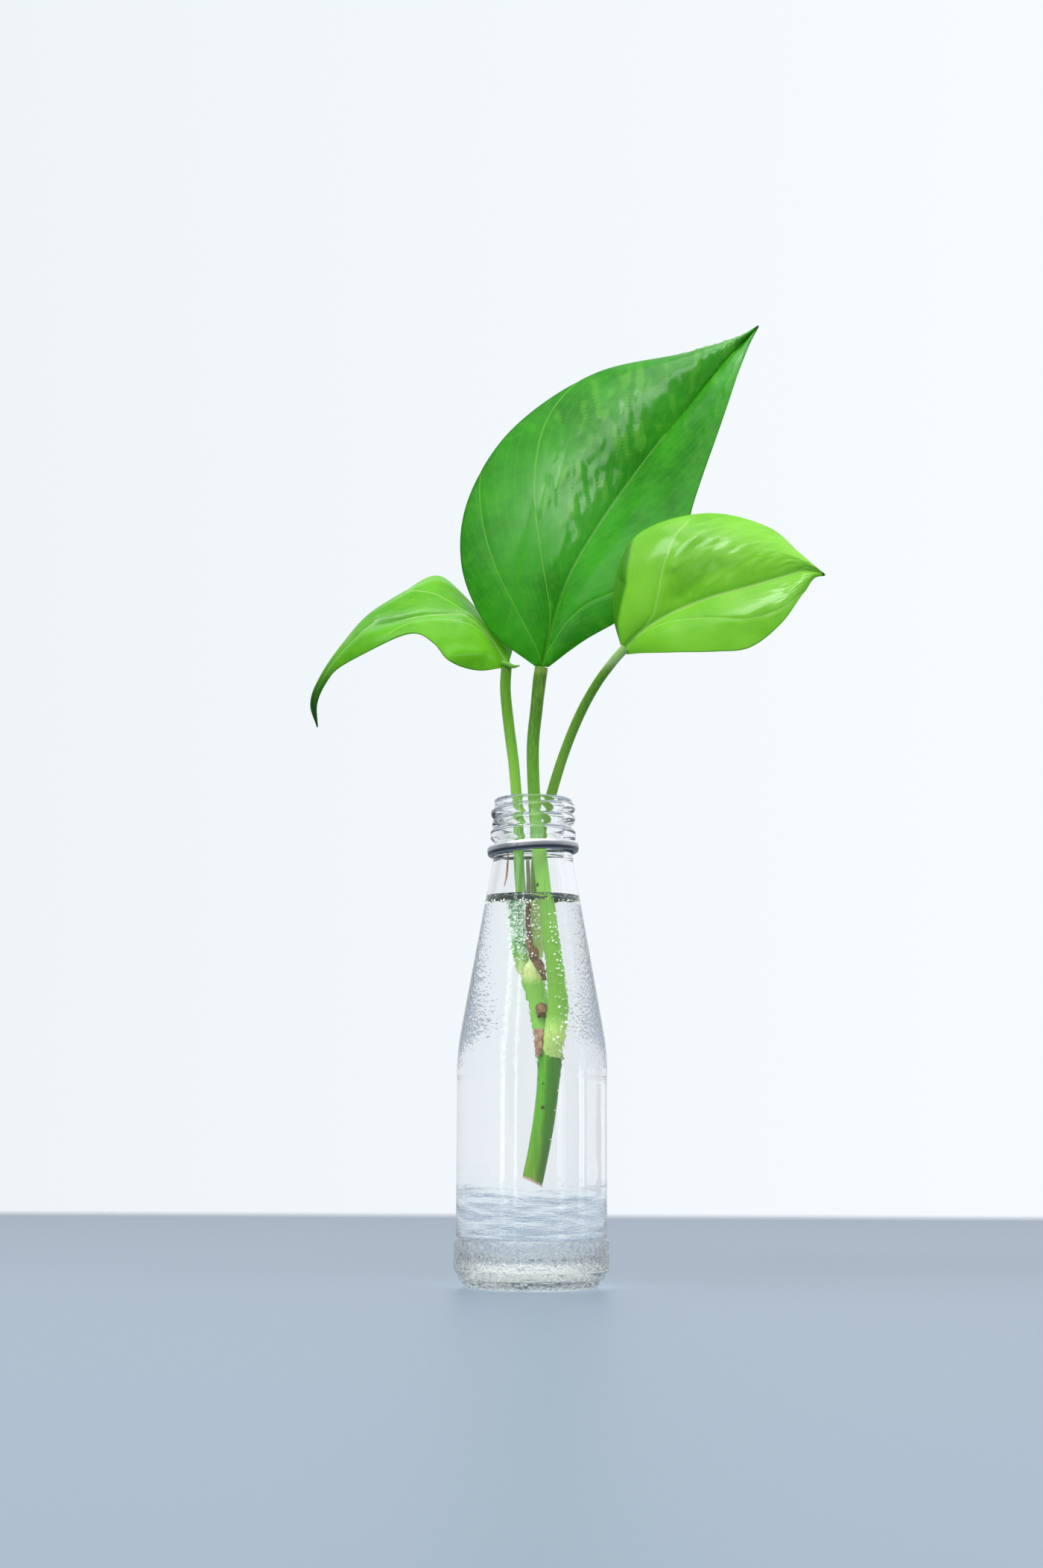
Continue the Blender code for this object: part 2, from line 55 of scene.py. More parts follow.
# Bottle, outside
SEGMENTS = 298
CONE_ROW = 0.44
BAND_ROW = 0.4
CONTACT_INNER_R = 18.7
CONTACT_OUTER_R = 20.4
PUSH_UP = 3.1
BAND_R = 24.4
BAND_BOTTOM_Z = 5.0
BAND_TOP_Z = 14.8
PANEL_R = 23.8
PANEL_TOP_Z = 65.0
SHOULDER_R = 23.95
SHOULDER_Z = 68.5
CONE_FOOT_R = 22.9
CONE_FOOT_Z = 78.9
NECK_R = 12.5
NECK_Z = 136.7
BEAD_R = 13.8
BEAD_BOTTOM_Z = 140.1
BEAD_TOP_Z = 144.3
FINISH_R = 12.45
RIM_R = 12.6
RIM_Z = 154.4
KNURLS = 72
KNURL_DEPTH = 0.16
KNURL_BOTTOM_Z = 0.1
KNURL_TOP_Z = 1.2

# Bottle, inside
WALL = 2.4
INNER_ROW = 0.8
WAVES_TOP_Z = 34.0
WAVES_FULL_Z = 24.0
WAVE_LEAST = 0.02
WAVE_MORE = 0.26
BORE_R = 10.2
FLOOR_Z = 8.2

# Helical thread on the neck
THREAD_R = 13.7
THREAD_PITCH = 3.67
THREAD_HALF_WIDTH = 1.65
THREAD_START_Z = 145.6
THREAD_START_TURN = 0.42
THREAD_TURNS = 1.75
THREAD_FADE_TURNS = 0.125
THREAD_ROW = 0.18

# Hammered cone and pebbled band
HAMMER_BOTTOM_Z = 67.0
HAMMER_TOP_Z = 127.0
HAMMER_CELL = 1.2
HAMMER_DEPTH = 0.06
PEBBLE_CELL = 1.7
PEBBLE_DEPTH = 0.26

# Tamper ring
RING_INNER_R = 12.95
RING_OUTER_R = 14.8
RING_HEIGHT = 3.3
RING_Z = 138.0
RING_TILT_DEG = 3.3
RING_SIDES = 28
RING_CHIP = 0.12
ROUND_STEPS = 192

# Water
WATER_TOP_Z = 121.7
WATER_INTO_GLASS = 0.15
MENISCUS_RISE = 0.9
MENISCUS_REACH = 0.7
SWELL = 0.09

# Heights of the inner wall's rows of points, from the neck down
INNER_STEPS = (
    NECK_Z - 2.0, WATER_TOP_Z, 108.0, 98.0, 94.0, 91.0, 88.5, 86.5, 85.0, 83.5, 82.0, 80.5, 79.0, 77.5,
    76.0, 74.5, 73.0, 71.5, 70.0, 68.5, 67.0, 65.5, 63.5, 61.0, 58.0, 54.0, 44.0, WAVES_TOP_Z,
)

# Stalks: points (x, y, z, radius) from the lowest up
STALK_RINGS = 200
STALK_GROOVE = 0.12
STEM = [
    (-0.6, 0.4, 28.0, 2.5),
    (1.6, 0.3, 42.0, 2.55),
    (3.1, 0.1, 54.0, 2.6),
    (4.0, 0.4, 66.0, 2.75),
    (4.0, 1.0, 72.5, 3.15),
    (2.5, 2.1, 79.0, 2.5),
    (1.4, 2.8, 87.0, 2.4),
    (0.3, 3.0, 94.0, 2.7),
    (-0.2, 3.0, 98.5, 2.9),
    (-0.7, 3.5, 102.0, 2.0),
]
CUT_POINT = (0.4, 0.4, 32.2)
CUT_NORMAL = (0.53, 0.0, 0.85)
PETIOLE_TALL = [
    (4.6, -0.2, 71.5, 2.4),
    (5.6, -2.3, 78.0, 2.7),
    (6.4, -3.4, 87.0, 2.6),
    (5.9, -5.2, 98.0, 2.4),
    (4.7, -6.8, 110.0, 2.3),
    (3.4, -7.6, 123.0, 2.25),
    (1.8, -7.4, 137.0, 2.15),
    (0.3, -5.0, 154.0, 2.0),
    (-0.2, -2.9, 171.0, 2.0),
    (0.9, -0.9, 184.0, 2.05),
    (1.8, 0.5, 193.0, 2.2),
    (2.5, 0.9, 198.2, 2.2),
]
PETIOLE_LEFT = [
    (-1.6, 2.4, 97.0, 1.9),
    (-3.1, 2.0, 103.5, 1.85),
    (-3.5, 2.7, 112.0, 1.75),
    (-3.9, 4.1, 123.0, 1.75),
    (-4.9, 5.4, 138.0, 1.8),
    (-5.2, 6.0, 152.0, 1.8),
    (-6.4, 6.2, 167.0, 1.8),
    (-8.2, 7.0, 181.0, 1.8),
    (-9.3, 7.7, 192.0, 1.8),
    (-9.0, 8.0, 200.4, 1.8),
]
PETIOLE_RIGHT = [
    (0.0, 4.2, 100.0, 1.8),
    (1.1, 5.1, 107.0, 1.75),
    (1.3, 5.6, 116.0, 1.7),
    (0.9, 5.5, 127.0, 1.7),
    (1.6, 5.0, 138.0, 1.75),
    (4.6, 4.7, 152.0, 1.75),
    (9.5, 2.3, 168.5, 1.65),
    (14.5, -2.6, 180.8, 1.6),
    (19.8, -8.2, 190.2, 1.5),
    (25.2, -12.3, 197.2, 1.5),
    (29.4, -14.4, 201.7, 1.5),
]
ROOT_STUB = [
    (2.0, 1.5, 86.2, 1.5),
    (2.2, -0.8, 85.0, 1.5),
    (2.5, -2.6, 83.4, 1.3),
]
STUB_LUMPS = 0.15
SPUR = [
    (-10.5, 7.0, 201.4, 0.7), (-8.6, 5.9, 200.5, 0.8), (-6.6, 5.2, 199.6, 0.6), (-4.6, 5.0, 199.9, 0.15),
]
FIBRE = [
    (-7.3, -6.9, 135.5, 0.15), (-7.6, -7.4, 131.5, 0.28),
    (-7.9, -8.0, 128.0, 0.25), (-8.5, -8.3, 125.0, 0.12),
]

# Dry sheath: points (x, y, z, half width) from the lowest up
SHEATH_THICKNESS = 0.35
SHEATH_UPPER = [
    (2.9, -0.9, 94.5, 0.5),
    (2.1, -1.0, 97.8, 0.85),
    (1.0, -1.0, 101.0, 1.25),
    (-0.3, -0.7, 104.8, 1.05),
    (-0.9, -0.1, 109.0, 0.75),
    (-1.1, 0.5, 115.0, 0.7),
    (-1.3, 1.2, 123.5, 0.7),
    (-1.7, 1.9, 135.0, 0.6),
]
SHEATH_LOWER = [
    (1.5, -2.6, 71.0, 0.5),
    (1.6, -2.3, 75.5, 1.0),
    (1.6, -1.6, 79.0, 1.2),
]

# Blades: midrib, then the edge on the viewer's left and right of it, as points from the stalk to the tip.
# On a blade u runs from 0 at the stalk to 1 at the tip, and v from -1 at the left edge to 1 at the right.
# Strokes and shine are (u, v, u, v, width, amount), veins are (u, v) points.
# Past calm, which is a u, the fine veins and the quilting fade out.
# rib_look gives the midrib's pale share and the painted shade in its groove; the lobe and the tip are
# painted darker as painted shade.
BLADE_THICKNESS = 0.45
BLADE_ROWS = 170
BLADE_COLUMNS = 110
TALL_BLADE = {
    "mid": [
        (2.6, 1.0, 198.8), (6.2, 3.5, 213.5), (12.2, 7.0, 232.0), (23.8, 12.0, 253.0),
        (38.8, 17.0, 275.5), (53.2, 21.0, 295.0), (66.0, 24.5, 312.0), (73.8, 27.3, 321.3),
        (78.3, 28.0, 326.8),
    ],
    "left": [
        (0.4, 1.0, 198.8), (-15.3, 8.0, 213.5), (-24.3, 16.0, 236.5), (-22.3, 24.0, 263.0),
        (-7.1, 29.0, 289.5), (21.5, 31.0, 310.5), (54.0, 29.5, 317.3), (70.5, 28.5, 322.3),
        (78.3, 28.0, 326.8),
    ],
    "right": [
        (4.8, 1.0, 198.6), (16.7, -2.0, 207.0), (31.2, -5.0, 215.5), (46.5, -7.0, 230.0),
        (52.5, -4.0, 253.0), (62.2, 5.0, 282.2), (70.5, 16.0, 307.5), (74.9, 25.0, 319.5),
        (78.3, 28.0, 326.8),
    ],
    "face": (0.2, -0.96, 0.2),
    "bulge": (5.0, 2.5),
    "ripple": 0.5,
    "slant": (0.5, 0.34),
    "quilt": 0.46,
    "calm": 0.97,
    "upright": True,
    "rib_look": (0.35, 0.75),
    "shaded_tip": 0.93,
    "lobe": None,
    "strokes": [(0.20, 0.35, 0.45, 0.25, 4.0, 0.4), (0.30, -0.55, 0.75, -0.30, 9.0, 0.5)],
    "shine": [
        (0.0, 0.0, 1.0, 0.0, 90.0, 0.14), (0.40, -0.30, 0.86, -0.42, 13.0, 0.58),
        (0.25, -0.10, 0.42, -0.10, 5.0, 0.3), (0.62, 0.30, 0.88, 0.35, 6.0, 0.5),
    ],
    "veins": [
        [
            (0.0, 0.0), (0.10, -0.03), (0.16, -0.09), (0.24, -0.25), (0.35, -0.48), (0.46, -0.71),
            (0.60, -1.0),
        ],
        [(0.0, -0.20), (0.04, -0.31), (0.15, -0.53), (0.24, -0.70), (0.33, -0.85), (0.42, -1.0)],
        [(0.03, 0.08), (0.08, 0.25), (0.14, 0.32), (0.21, 0.48), (0.29, 0.75), (0.36, 1.0)],
    ],
}
RIGHT_BLADE = {
    "mid": [
        (29.0, -14.0, 201.3), (34.6, -17.0, 206.5), (44.2, -21.0, 211.7), (55.0, -25.0, 215.4),
        (66.5, -29.0, 217.8), (76.0, -33.0, 219.8), (83.5, -36.7, 221.3), (87.6, -38.7, 220.6),
        (90.2, -40.0, 219.2),
    ],
    "left": [
        (28.0, -14.0, 202.5), (24.1, -10.0, 213.6), (26.4, -8.0, 232.3), (37.4, -12.0, 242.3),
        (57.1, -18.0, 245.1), (74.4, -24.0, 239.3), (83.3, -31.0, 228.8), (87.4, -37.5, 222.2),
        (90.2, -40.0, 219.2),
    ],
    "right": [
        (30.0, -14.0, 199.6), (35.8, -20.0, 198.7), (44.9, -26.0, 197.7), (56.7, -31.0, 196.6),
        (67.0, -35.0, 197.4), (77.0, -38.0, 204.6), (83.3, -39.0, 213.2), (86.6, -39.5, 218.2),
        (90.2, -40.0, 219.2),
    ],
    "face": (-0.3, -0.9, 0.3),
    "bulge": (4.0, 1.5),
    "ripple": 0.4,
    "slant": (0.45, 0.4),
    "quilt": 0.15,
    "calm": 0.97,
    "upright": False,
    "rib_look": (0.8, 0.1),
    "shaded_tip": 0.95,
    "lobe": [(0.0, -0.50), (0.15, -0.56), (0.22, -0.61), (0.29, -0.80), (0.35, -1.0)],
    "strokes": [
        (0.31, -0.11, 0.45, -0.24, 3.0, -0.7), (0.45, -0.65, 0.35, -0.40, 1.6, 0.5),
        (0.45, 0.45, 0.75, 0.60, 3.5, 0.35), (0.50, 0.80, 0.70, 0.30, 2.5, -0.2),
    ],
    "shine": [
        (0.0, 0.0, 1.0, 0.0, 90.0, 0.20), (0.34, -0.80, 0.44, -0.42, 7.0, 0.9),
        (0.55, 0.4, 0.72, 0.6, 7.0, 0.7),
    ],
    "veins": [
        [(0.0, 0.0), (0.13, -0.02), (0.20, -0.10), (0.27, -0.28), (0.36, -0.55), (0.45, -0.9)],
        [(0.05, 0.05), (0.2, 0.2), (0.4, 0.45), (0.6, 0.7), (0.75, 0.95)],
    ],
}
LEFT_BLADE = {
    "mid": [
        (-9.0, 8.0, 201.1), (-15.3, 10.0, 211.1), (-22.3, 12.0, 217.7), (-34.0, 12.0, 218.1),
        (-46.0, 13.0, 216.0), (-57.1, 14.0, 213.0), (-65.5, 16.0, 204.5), (-71.0, 17.5, 196.2),
        (-73.8, 19.0, 189.3), (-72.4, 20.0, 181.6),
    ],
    "left": [
        (-10.0, 8.0, 199.8), (-18.8, 4.0, 197.9), (-27.5, 0.0, 199.9), (-32.9, 0.0, 206.4),
        (-40.2, 2.0, 209.6), (-53.3, 5.0, 205.2), (-64.7, 10.0, 200.2), (-69.5, 15.0, 195.2),
        (-72.5, 18.0, 188.9), (-72.4, 20.0, 181.6),
    ],
    "right": [
        (-8.0, 8.0, 202.0), (-8.1, 16.0, 210.2), (-19.1, 26.0, 223.2), (-32.0, 32.0, 236.7),
        (-44.0, 32.0, 231.9), (-55.0, 30.0, 223.6), (-64.0, 26.0, 211.0), (-71.3, 22.0, 199.2),
        (-74.8, 20.0, 190.0), (-72.4, 20.0, 181.6),
    ],
    "face": (-0.1, -0.7, 0.7),
    "bulge": (2.0, 2.5),
    "ripple": 0.4,
    "slant": (0.35, 0.35),
    "quilt": 0.14,
    "calm": 0.66,
    "upright": False,
    "rib_look": (0.5, 0.2),
    "shaded_tip": 0.48,
    "lobe": None,
    "strokes": [
        (0.23, 0.03, 0.51, 0.16, 1.8, 0.6), (0.24, -0.11, 0.41, -0.70, 2.0, 0.5),
        (0.22, 0.95, 0.45, 0.50, 2.5, 0.6), (0.12, -0.65, 0.22, -0.90, 3.0, 0.7),
    ],
    "shine": [
        (0.0, 0.0, 1.0, 0.0, 90.0, 0.26), (0.22, 0.06, 0.62, 0.12, 2.6, 0.7),
        (0.24, -0.15, 0.52, -0.40, 2.2, 0.6),
    ],
    "veins": [
        [(0.05, 0.05), (0.2, 0.15), (0.35, 0.45), (0.5, 0.8)],
        [(0.1, -0.05), (0.25, -0.2), (0.4, -0.5), (0.5, -0.8)],
    ],
}

# Camera, seen from the bottle's foot
CAMERA_X = -3.84
CAMERA_Y = -697.8
CAMERA_Z = 45.08
CAMERA_UP_DEG = 9.31
CAMERA_ROLL = 0.0051
LENS = 50.0
SENSOR = 36.0

# Colours, as red, green and blue from 0 to 1
CLEAR = (0.997, 1.0, 1.0)
WALL_TINT = (0.955, 0.985, 1.0)
BASE_TINT = (0.965, 1.0, 0.93)
DARK_BROWN = (0.06, 0.03, 0.01)
DEAD_BROWN = (0.10, 0.05, 0.02)
CUT_PINK = (0.62, 0.44, 0.36)
PALE_SPECK = (0.62, 0.78, 0.35)
# Painted shade for a folded-back lobe
LOBE_SHADE_GREEN = (0.022, 0.20, 0.002)
# Painted shade for the tips of the leaves
TIP_SHADE_GREEN = (0.01, 0.07, 0.006)
COOL_WHITE = (0.93, 0.97, 1.0)

# A leaf's greens: its shade, its flesh, its lighter marks and its veins
DEEP_GREENS = ((0.011, 0.19, 0.001), (0.028, 0.32, 0.003), (0.14, 0.47, 0.03), (0.17, 0.48, 0.04))
FRESH_GREENS = ((0.15, 0.50, 0.014), (0.22, 0.61, 0.032), (0.29, 0.66, 0.08), (0.40, 0.70, 0.16))
YOUNG_GREENS = ((0.07, 0.35, 0.003), (0.14, 0.52, 0.006), (0.30, 0.64, 0.08), (0.44, 0.70, 0.20))

# A stalk's colours by height, from the lowest up; the petioles' darkening towards the leaves is partly their
# own colour and partly painted shade under the leaves
STEM_TONES = [
    (28.0, (0.34, 0.36, 0.06)), (35.0, (0.14, 0.36, 0.010)), (50.0, (0.10, 0.42, 0.003)),
    (68.0, (0.10, 0.44, 0.003)), (71.5, (0.10, 0.44, 0.006)), (73.0, (0.27, 0.66, 0.09)),
    (93.0, (0.27, 0.66, 0.09)), (96.0, (0.84, 1.0, 0.38)), (100.0, (0.86, 1.0, 0.44)),
]
TALL_TONES = [
    (71.0, (0.70, 1.0, 0.28)), (78.0, (0.66, 1.0, 0.25)), (84.0, (0.24, 0.60, 0.05)),
    (110.0, (0.25, 0.60, 0.07)), (137.0, (0.34, 0.74, 0.14)), (141.0, (0.15, 0.40, 0.11)),
    (150.0, (0.15, 0.42, 0.03)), (160.0, (0.12, 0.38, 0.02)), (182.0, (0.06, 0.20, 0.003)),
    (195.0, (0.06, 0.19, 0.003)), (197.0, (0.18, 0.32, 0.05)), (199.0, (0.11, 0.30, 0.03)),
]
LEFT_TONES = [
    (97.0, (0.70, 0.94, 0.34)), (103.0, (0.24, 0.56, 0.10)), (107.0, (0.10, 0.40, 0.10)),
    (121.0, (0.09, 0.36, 0.12)), (124.0, (0.22, 0.52, 0.08)), (140.0, (0.16, 0.42, 0.10)),
    (160.0, (0.32, 0.72, 0.09)), (185.0, (0.13, 0.38, 0.012)), (200.0, (0.10, 0.32, 0.01)),
]
RIGHT_TONES = [
    (100.0, (0.50, 0.72, 0.22)), (112.0, (0.56, 0.74, 0.26)), (121.0, (0.52, 0.70, 0.24)),
    (123.0, (0.16, 0.32, 0.06)), (140.0, (0.18, 0.44, 0.04)), (160.0, (0.23, 0.50, 0.05)),
    (190.0, (0.11, 0.33, 0.01)), (194.5, (0.13, 0.34, 0.02)), (197.0, (0.36, 0.58, 0.22)),
    (199.5, (0.34, 0.60, 0.16)),
]

# Small marks: (centre, radius, colour)
STEM_SPOTS = [
    ((2.6, -2.5, 63.0), 0.7, DARK_BROWN), ((2.6, -2.5, 55.5), 0.8, DARK_BROWN),
    ((1.4, -0.4, 68.6), 0.9, DARK_BROWN), ((1.3, -0.4, 64.6), 0.8, DARK_BROWN),
]
TALL_STALK_SPOTS = [((1.3, -8.8, 125.3), 0.9, DARK_BROWN)]
LEFT_STALK_SPOTS = [((-5.3, 4.2, 150.0), 1.2, DARK_BROWN)]
TALL_LEAF_SPOTS = [
    ((12.5, 4.0, 232.0), 0.8, DARK_BROWN), ((23.3, 2.0, 244.0), 0.8, PALE_SPECK),
    ((8.0, 5.0, 247.0), 0.6, PALE_SPECK), ((40.5, 16.0, 287.0), 0.9, PALE_SPECK),
]

# The studio's tone from behind the camera to behind the object
STUDIO_TONES = [
    (0.0, (0.40, 0.415, 0.44)), (0.38, (0.44, 0.46, 0.49)), (0.50, (0.60, 0.63, 0.67)),
    (0.66, (0.87, 0.915, 0.955)), (0.85, (0.893, 0.938, 0.976)),
]


class Wire:
    """A shader socket that takes part in sums and products."""

    def __init__(self, nodes, socket):
        self.nodes = nodes
        self.socket = socket

    def worked(self, operation, first, second):
        return self.nodes.node("ShaderNodeMath", {"operation": operation}, {0: first, 1: second})

    def __add__(self, other):
        return self.worked("ADD", self, other)

    def __radd__(self, other):
        return self.worked("ADD", other, self)

    def __sub__(self, other):
        return self.worked("SUBTRACT", self, other)

    def __rsub__(self, other):
        return self.worked("SUBTRACT", other, self)

    def __mul__(self, other):
        return self.worked("MULTIPLY", self, other)

    def __rmul__(self, other):
        return self.worked("MULTIPLY", other, self)

    def __truediv__(self, other):
        return self.worked("DIVIDE", self, other)

    def __abs__(self):
        return self.worked("ABSOLUTE", self, 0.0)

    def fraction(self):
        return self.worked("FRACT", self, 0.0)

    def highest(self, other):
        return self.worked("MAXIMUM", self, other)


class Nodes:
    """A tree of shader nodes, built one node at a time."""

    def __init__(self, tree):
        self.tree = tree

    def feed(self, socket, value):
        if isinstance(value, Wire):
            self.tree.links.new(value.socket, socket)
        elif socket.type == "RGBA" and len(value) == 3:
            socket.default_value = (*value, 1.0)
        else:
            socket.default_value = value

    def node(self, kind, settings=None, inputs=None, output=0):
        made = self.tree.nodes.new(kind)
        for name, value in (settings or {}).items():
            if name == "stops":
                self.fill_ramp(made.color_ramp, value)
            else:
                setattr(made, name, value)
        for key, value in (inputs or {}).items():
            self.feed(made.inputs[key], value)
        return Wire(self, made.outputs[output])

    def fill_ramp(self, ramp, stops):
        while len(ramp.elements) < len(stops):
            ramp.elements.new(0.5)
        for element, (at, colour) in zip(ramp.elements, stops):
            element.position = at
            element.color = (*colour, 1.0)

    def part(self, vector, letter):
        return self.node("ShaderNodeSeparateXYZ", inputs={"Vector": vector}, output="XYZ".index(letter))


class Recipe(Nodes):
    """A material's nodes round one Principled shader."""

    def __init__(self, name, **constants):
        self.material = bpy.data.materials.new(name)
        self.material.use_nodes = True
        super().__init__(self.material.node_tree)
        self.shader = self.tree.nodes["Principled BSDF"]
        self.set(**constants)

    def set(self, **values):
        for name, value in values.items():
            self.feed(self.shader.inputs[name.replace("_", " ")], value)

    def place(self):
        """Where a point is, in millimetres about the bottle's axis."""
        at = self.node("ShaderNodeTexCoord", output=3)
        size = (1 / MM,) * 3
        return self.node("ShaderNodeMapping", inputs={"Vector": at, "Location": -AXIS / MM, "Scale": size})

    def stretched(self, vector, scale):
        return self.node("ShaderNodeMapping", inputs={"Vector": vector, "Scale": scale})

    def cloud(self, vector, scale, detail=2.0, roughness=0.5):
        """Soft noise from 0 to 1."""
        inputs = {"Vector": vector, "Scale": scale, "Detail": detail, "Roughness": roughness}
        return self.node("ShaderNodeTexNoise", inputs=inputs)

    def cells(self, vector, scale):
        """Distance to the nearest of many scattered points."""
        return self.node("ShaderNodeTexVoronoi", inputs={"Vector": vector, "Scale": scale})

    def between(self, value, low, high):
        """0 below low, 1 above high, and smooth in between; low may be the larger."""
        inputs = {0: value, 1: low, 2: high}
        return self.node("ShaderNodeMapRange", {"interpolation_type": "SMOOTHSTEP"}, inputs)

    def mix(self, share, first, second):
        """The first colour where the share is 0, the second where it is 1."""
        return self.node("ShaderNodeMix", {"data_type": "RGBA"}, {0: share, 6: first, 7: second}, output=2)

    def by_height(self, height, stops):
        """A colour that changes with height; stops are (height, colour)."""
        low, high = stops[0][0], stops[-1][0]
        share = (height - low) / (high - low)
        scaled = [((at - low) / (high - low), colour) for at, colour in stops]
        return self.node("ShaderNodeValToRGB", {"stops": scaled}, {0: share})

    def spot(self, place, centre, radius):
        """1 at a point, falling to 0 at the radius."""
        settings = {"operation": "DISTANCE"}
        away = self.node("ShaderNodeVectorMath", settings, {0: place, 1: centre}, output=1)
        return self.between(away, radius, 0.4 * radius)

    def layer(self, name, low, high, signed=False):
        """A number painted on the mesh, measured between two values."""
        painted = self.node("ShaderNodeAttribute", {"attribute_name": name}, output=2)
        return self.between(painted if signed else abs(painted), low, high)

    def let_lamps_through(self):
        """Glass that lets lamps shine on what stands behind it."""
        shadow = self.node("ShaderNodeLightPath", output=1)
        clear = self.node("ShaderNodeBsdfTransparent")
        solid = Wire(self, self.shader.outputs[0])
        either = self.node("ShaderNodeMixShader", inputs={0: shadow, 1: solid, 2: clear})
        self.feed(self.tree.nodes["Material Output"].inputs["Surface"], either)

    def bump(self, height, strength, distance):
        inputs = {"Height": height, "Strength": strength, "Distance": distance * MM}
        self.set(Normal=self.node("ShaderNodeBump", inputs=inputs))


def clear_glass():
    """Clear glass, greener in its thick foot, with hammer marks and the tops of the pebbles frosted."""
    recipe = Recipe("clear_glass", Transmission_Weight=1.0, IOR=1.5)
    place = recipe.place()
    height = recipe.part(place, "Z")
    thick = recipe.between(height, 10.0, 4.5)
    wall = recipe.mix(recipe.between(height, 36.0, 26.0), CLEAR, WALL_TINT)
    recipe.set(Base_Color=recipe.mix(thick, wall, BASE_TINT))
    smears = recipe.cloud(place, 0.09, 3.0)
    hammered = recipe.between(height, HAMMER_BOTTOM_Z, HAMMER_BOTTOM_Z + 2.0)
    hammered = hammered * recipe.between(height, HAMMER_TOP_Z - 1.0, HAMMER_TOP_Z - 9.0)
    flank = recipe.between(abs(recipe.part(place, "X")), 4.0, 16.0) * 0.6 + 0.4
    dimple = recipe.cells(place, 0.95) * hammered * flank
    pebbled = recipe.between(height, BAND_BOTTOM_Z + 0.2, BAND_BOTTOM_Z + 1.0)
    pebbled = pebbled * recipe.between(height, BAND_TOP_Z, BAND_TOP_Z - 0.6)
    pebble = recipe.cells(place, 1.05) * pebbled
    crest = recipe.between(pebble, 0.62, 0.25) * pebbled
    recipe.set(Roughness=recipe.between(smears, 0.55, 0.8) * 0.02 + crest * 0.55 + 0.002)
    foot = recipe.between(height, WAVES_TOP_Z, 20.0) * recipe.between(height, BAND_TOP_Z, BAND_TOP_Z + 0.8)
    draw_line = recipe.cloud(recipe.stretched(place, (0.10, 0.10, 0.9)), 1.0, 3.0, 0.6)
    recipe.bump(dimple * 0.5 + pebble * 2.0 + draw_line * foot * 2.0, 0.8, 0.1)
    recipe.let_lamps_through()
    return recipe.material


def water_finish():
    recipe = Recipe("water", Base_Color=CLEAR, Transmission_Weight=1.0, IOR=1.333)
    place = recipe.place()
    recipe.set(Roughness=recipe.cloud(place, 0.05) * 0.004)
    recipe.let_lamps_through()
    return recipe.material


def grey_metal():
    recipe = Recipe("grey_metal", Metallic=1.0)
    place = recipe.place()
    brushed = recipe.cloud(recipe.stretched(place, (0.3, 0.3, 6.0)), 1.0, 4.0)
    stain = recipe.cloud(place, 0.3, 3.0)
    colour = recipe.mix(brushed, (0.36, 0.37, 0.40), (0.56, 0.57, 0.60))
    colour = recipe.mix(recipe.between(stain, 0.55, 0.75) * 0.6, colour, (0.26, 0.26, 0.28))
    tilt = math.tan(math.radians(RING_TILT_DEG))
    level = recipe.part(place, "Z") - RING_Z - recipe.part(place, "X") * tilt
    # The ring's top edge is painted near white as a painted highlight, its lower half near black as a
    # painted reflection, and its bottom edge lighter as a painted reflection.
    colour = recipe.mix(recipe.between(level, 0.5, 1.3), colour, (0.98, 0.99, 1.0))
    colour = recipe.mix(recipe.between(level, 0.1, -0.7), colour, (0.07, 0.08, 0.095))
    recipe.set(Base_Color=recipe.mix(recipe.between(level, -1.0, -1.5), colour, (0.34, 0.36, 0.40)))
    recipe.set(Roughness=0.3 + 0.15 * brushed)
    recipe.bump(brushed, 0.25, 0.05)
    return recipe.material


def air_bubble():
    """Clear in the middle and bright round the rim, as air is under water; the rim's white is a painted
    reflection, and the faint glow is painted light.
    """
    recipe = Recipe("air_bubble", Emission_Strength=0.3, IOR=1.33)
    place = recipe.place()
    tone = recipe.cloud(place, 0.8)
    bright = recipe.mix(tone, (0.78, 0.95, 0.86), (1.0, 1.0, 1.0))
    recipe.set(Base_Color=bright, Emission_Color=bright)
    recipe.set(Roughness=0.08 + 0.1 * tone)
    rim = recipe.node("ShaderNodeLayerWeight", inputs={"Blend": 0.5}, output=1)
    recipe.set(Alpha=0.12 + 0.88 * recipe.between(rim, 0.30, 0.62))
    return recipe.material


def glinting_bead():
    """A small bubble painted white with a faint glow: a painted highlight."""
    recipe = Recipe("glinting_bead", Emission_Strength=0.3)
    place = recipe.place()
    tone = recipe.cloud(place, 0.8)
    bright = recipe.mix(tone, (0.82, 0.97, 0.80), (1.0, 1.0, 0.97))
    recipe.set(Base_Color=bright, Emission_Color=bright, Roughness=0.15 + 0.1 * tone)
    return recipe.material


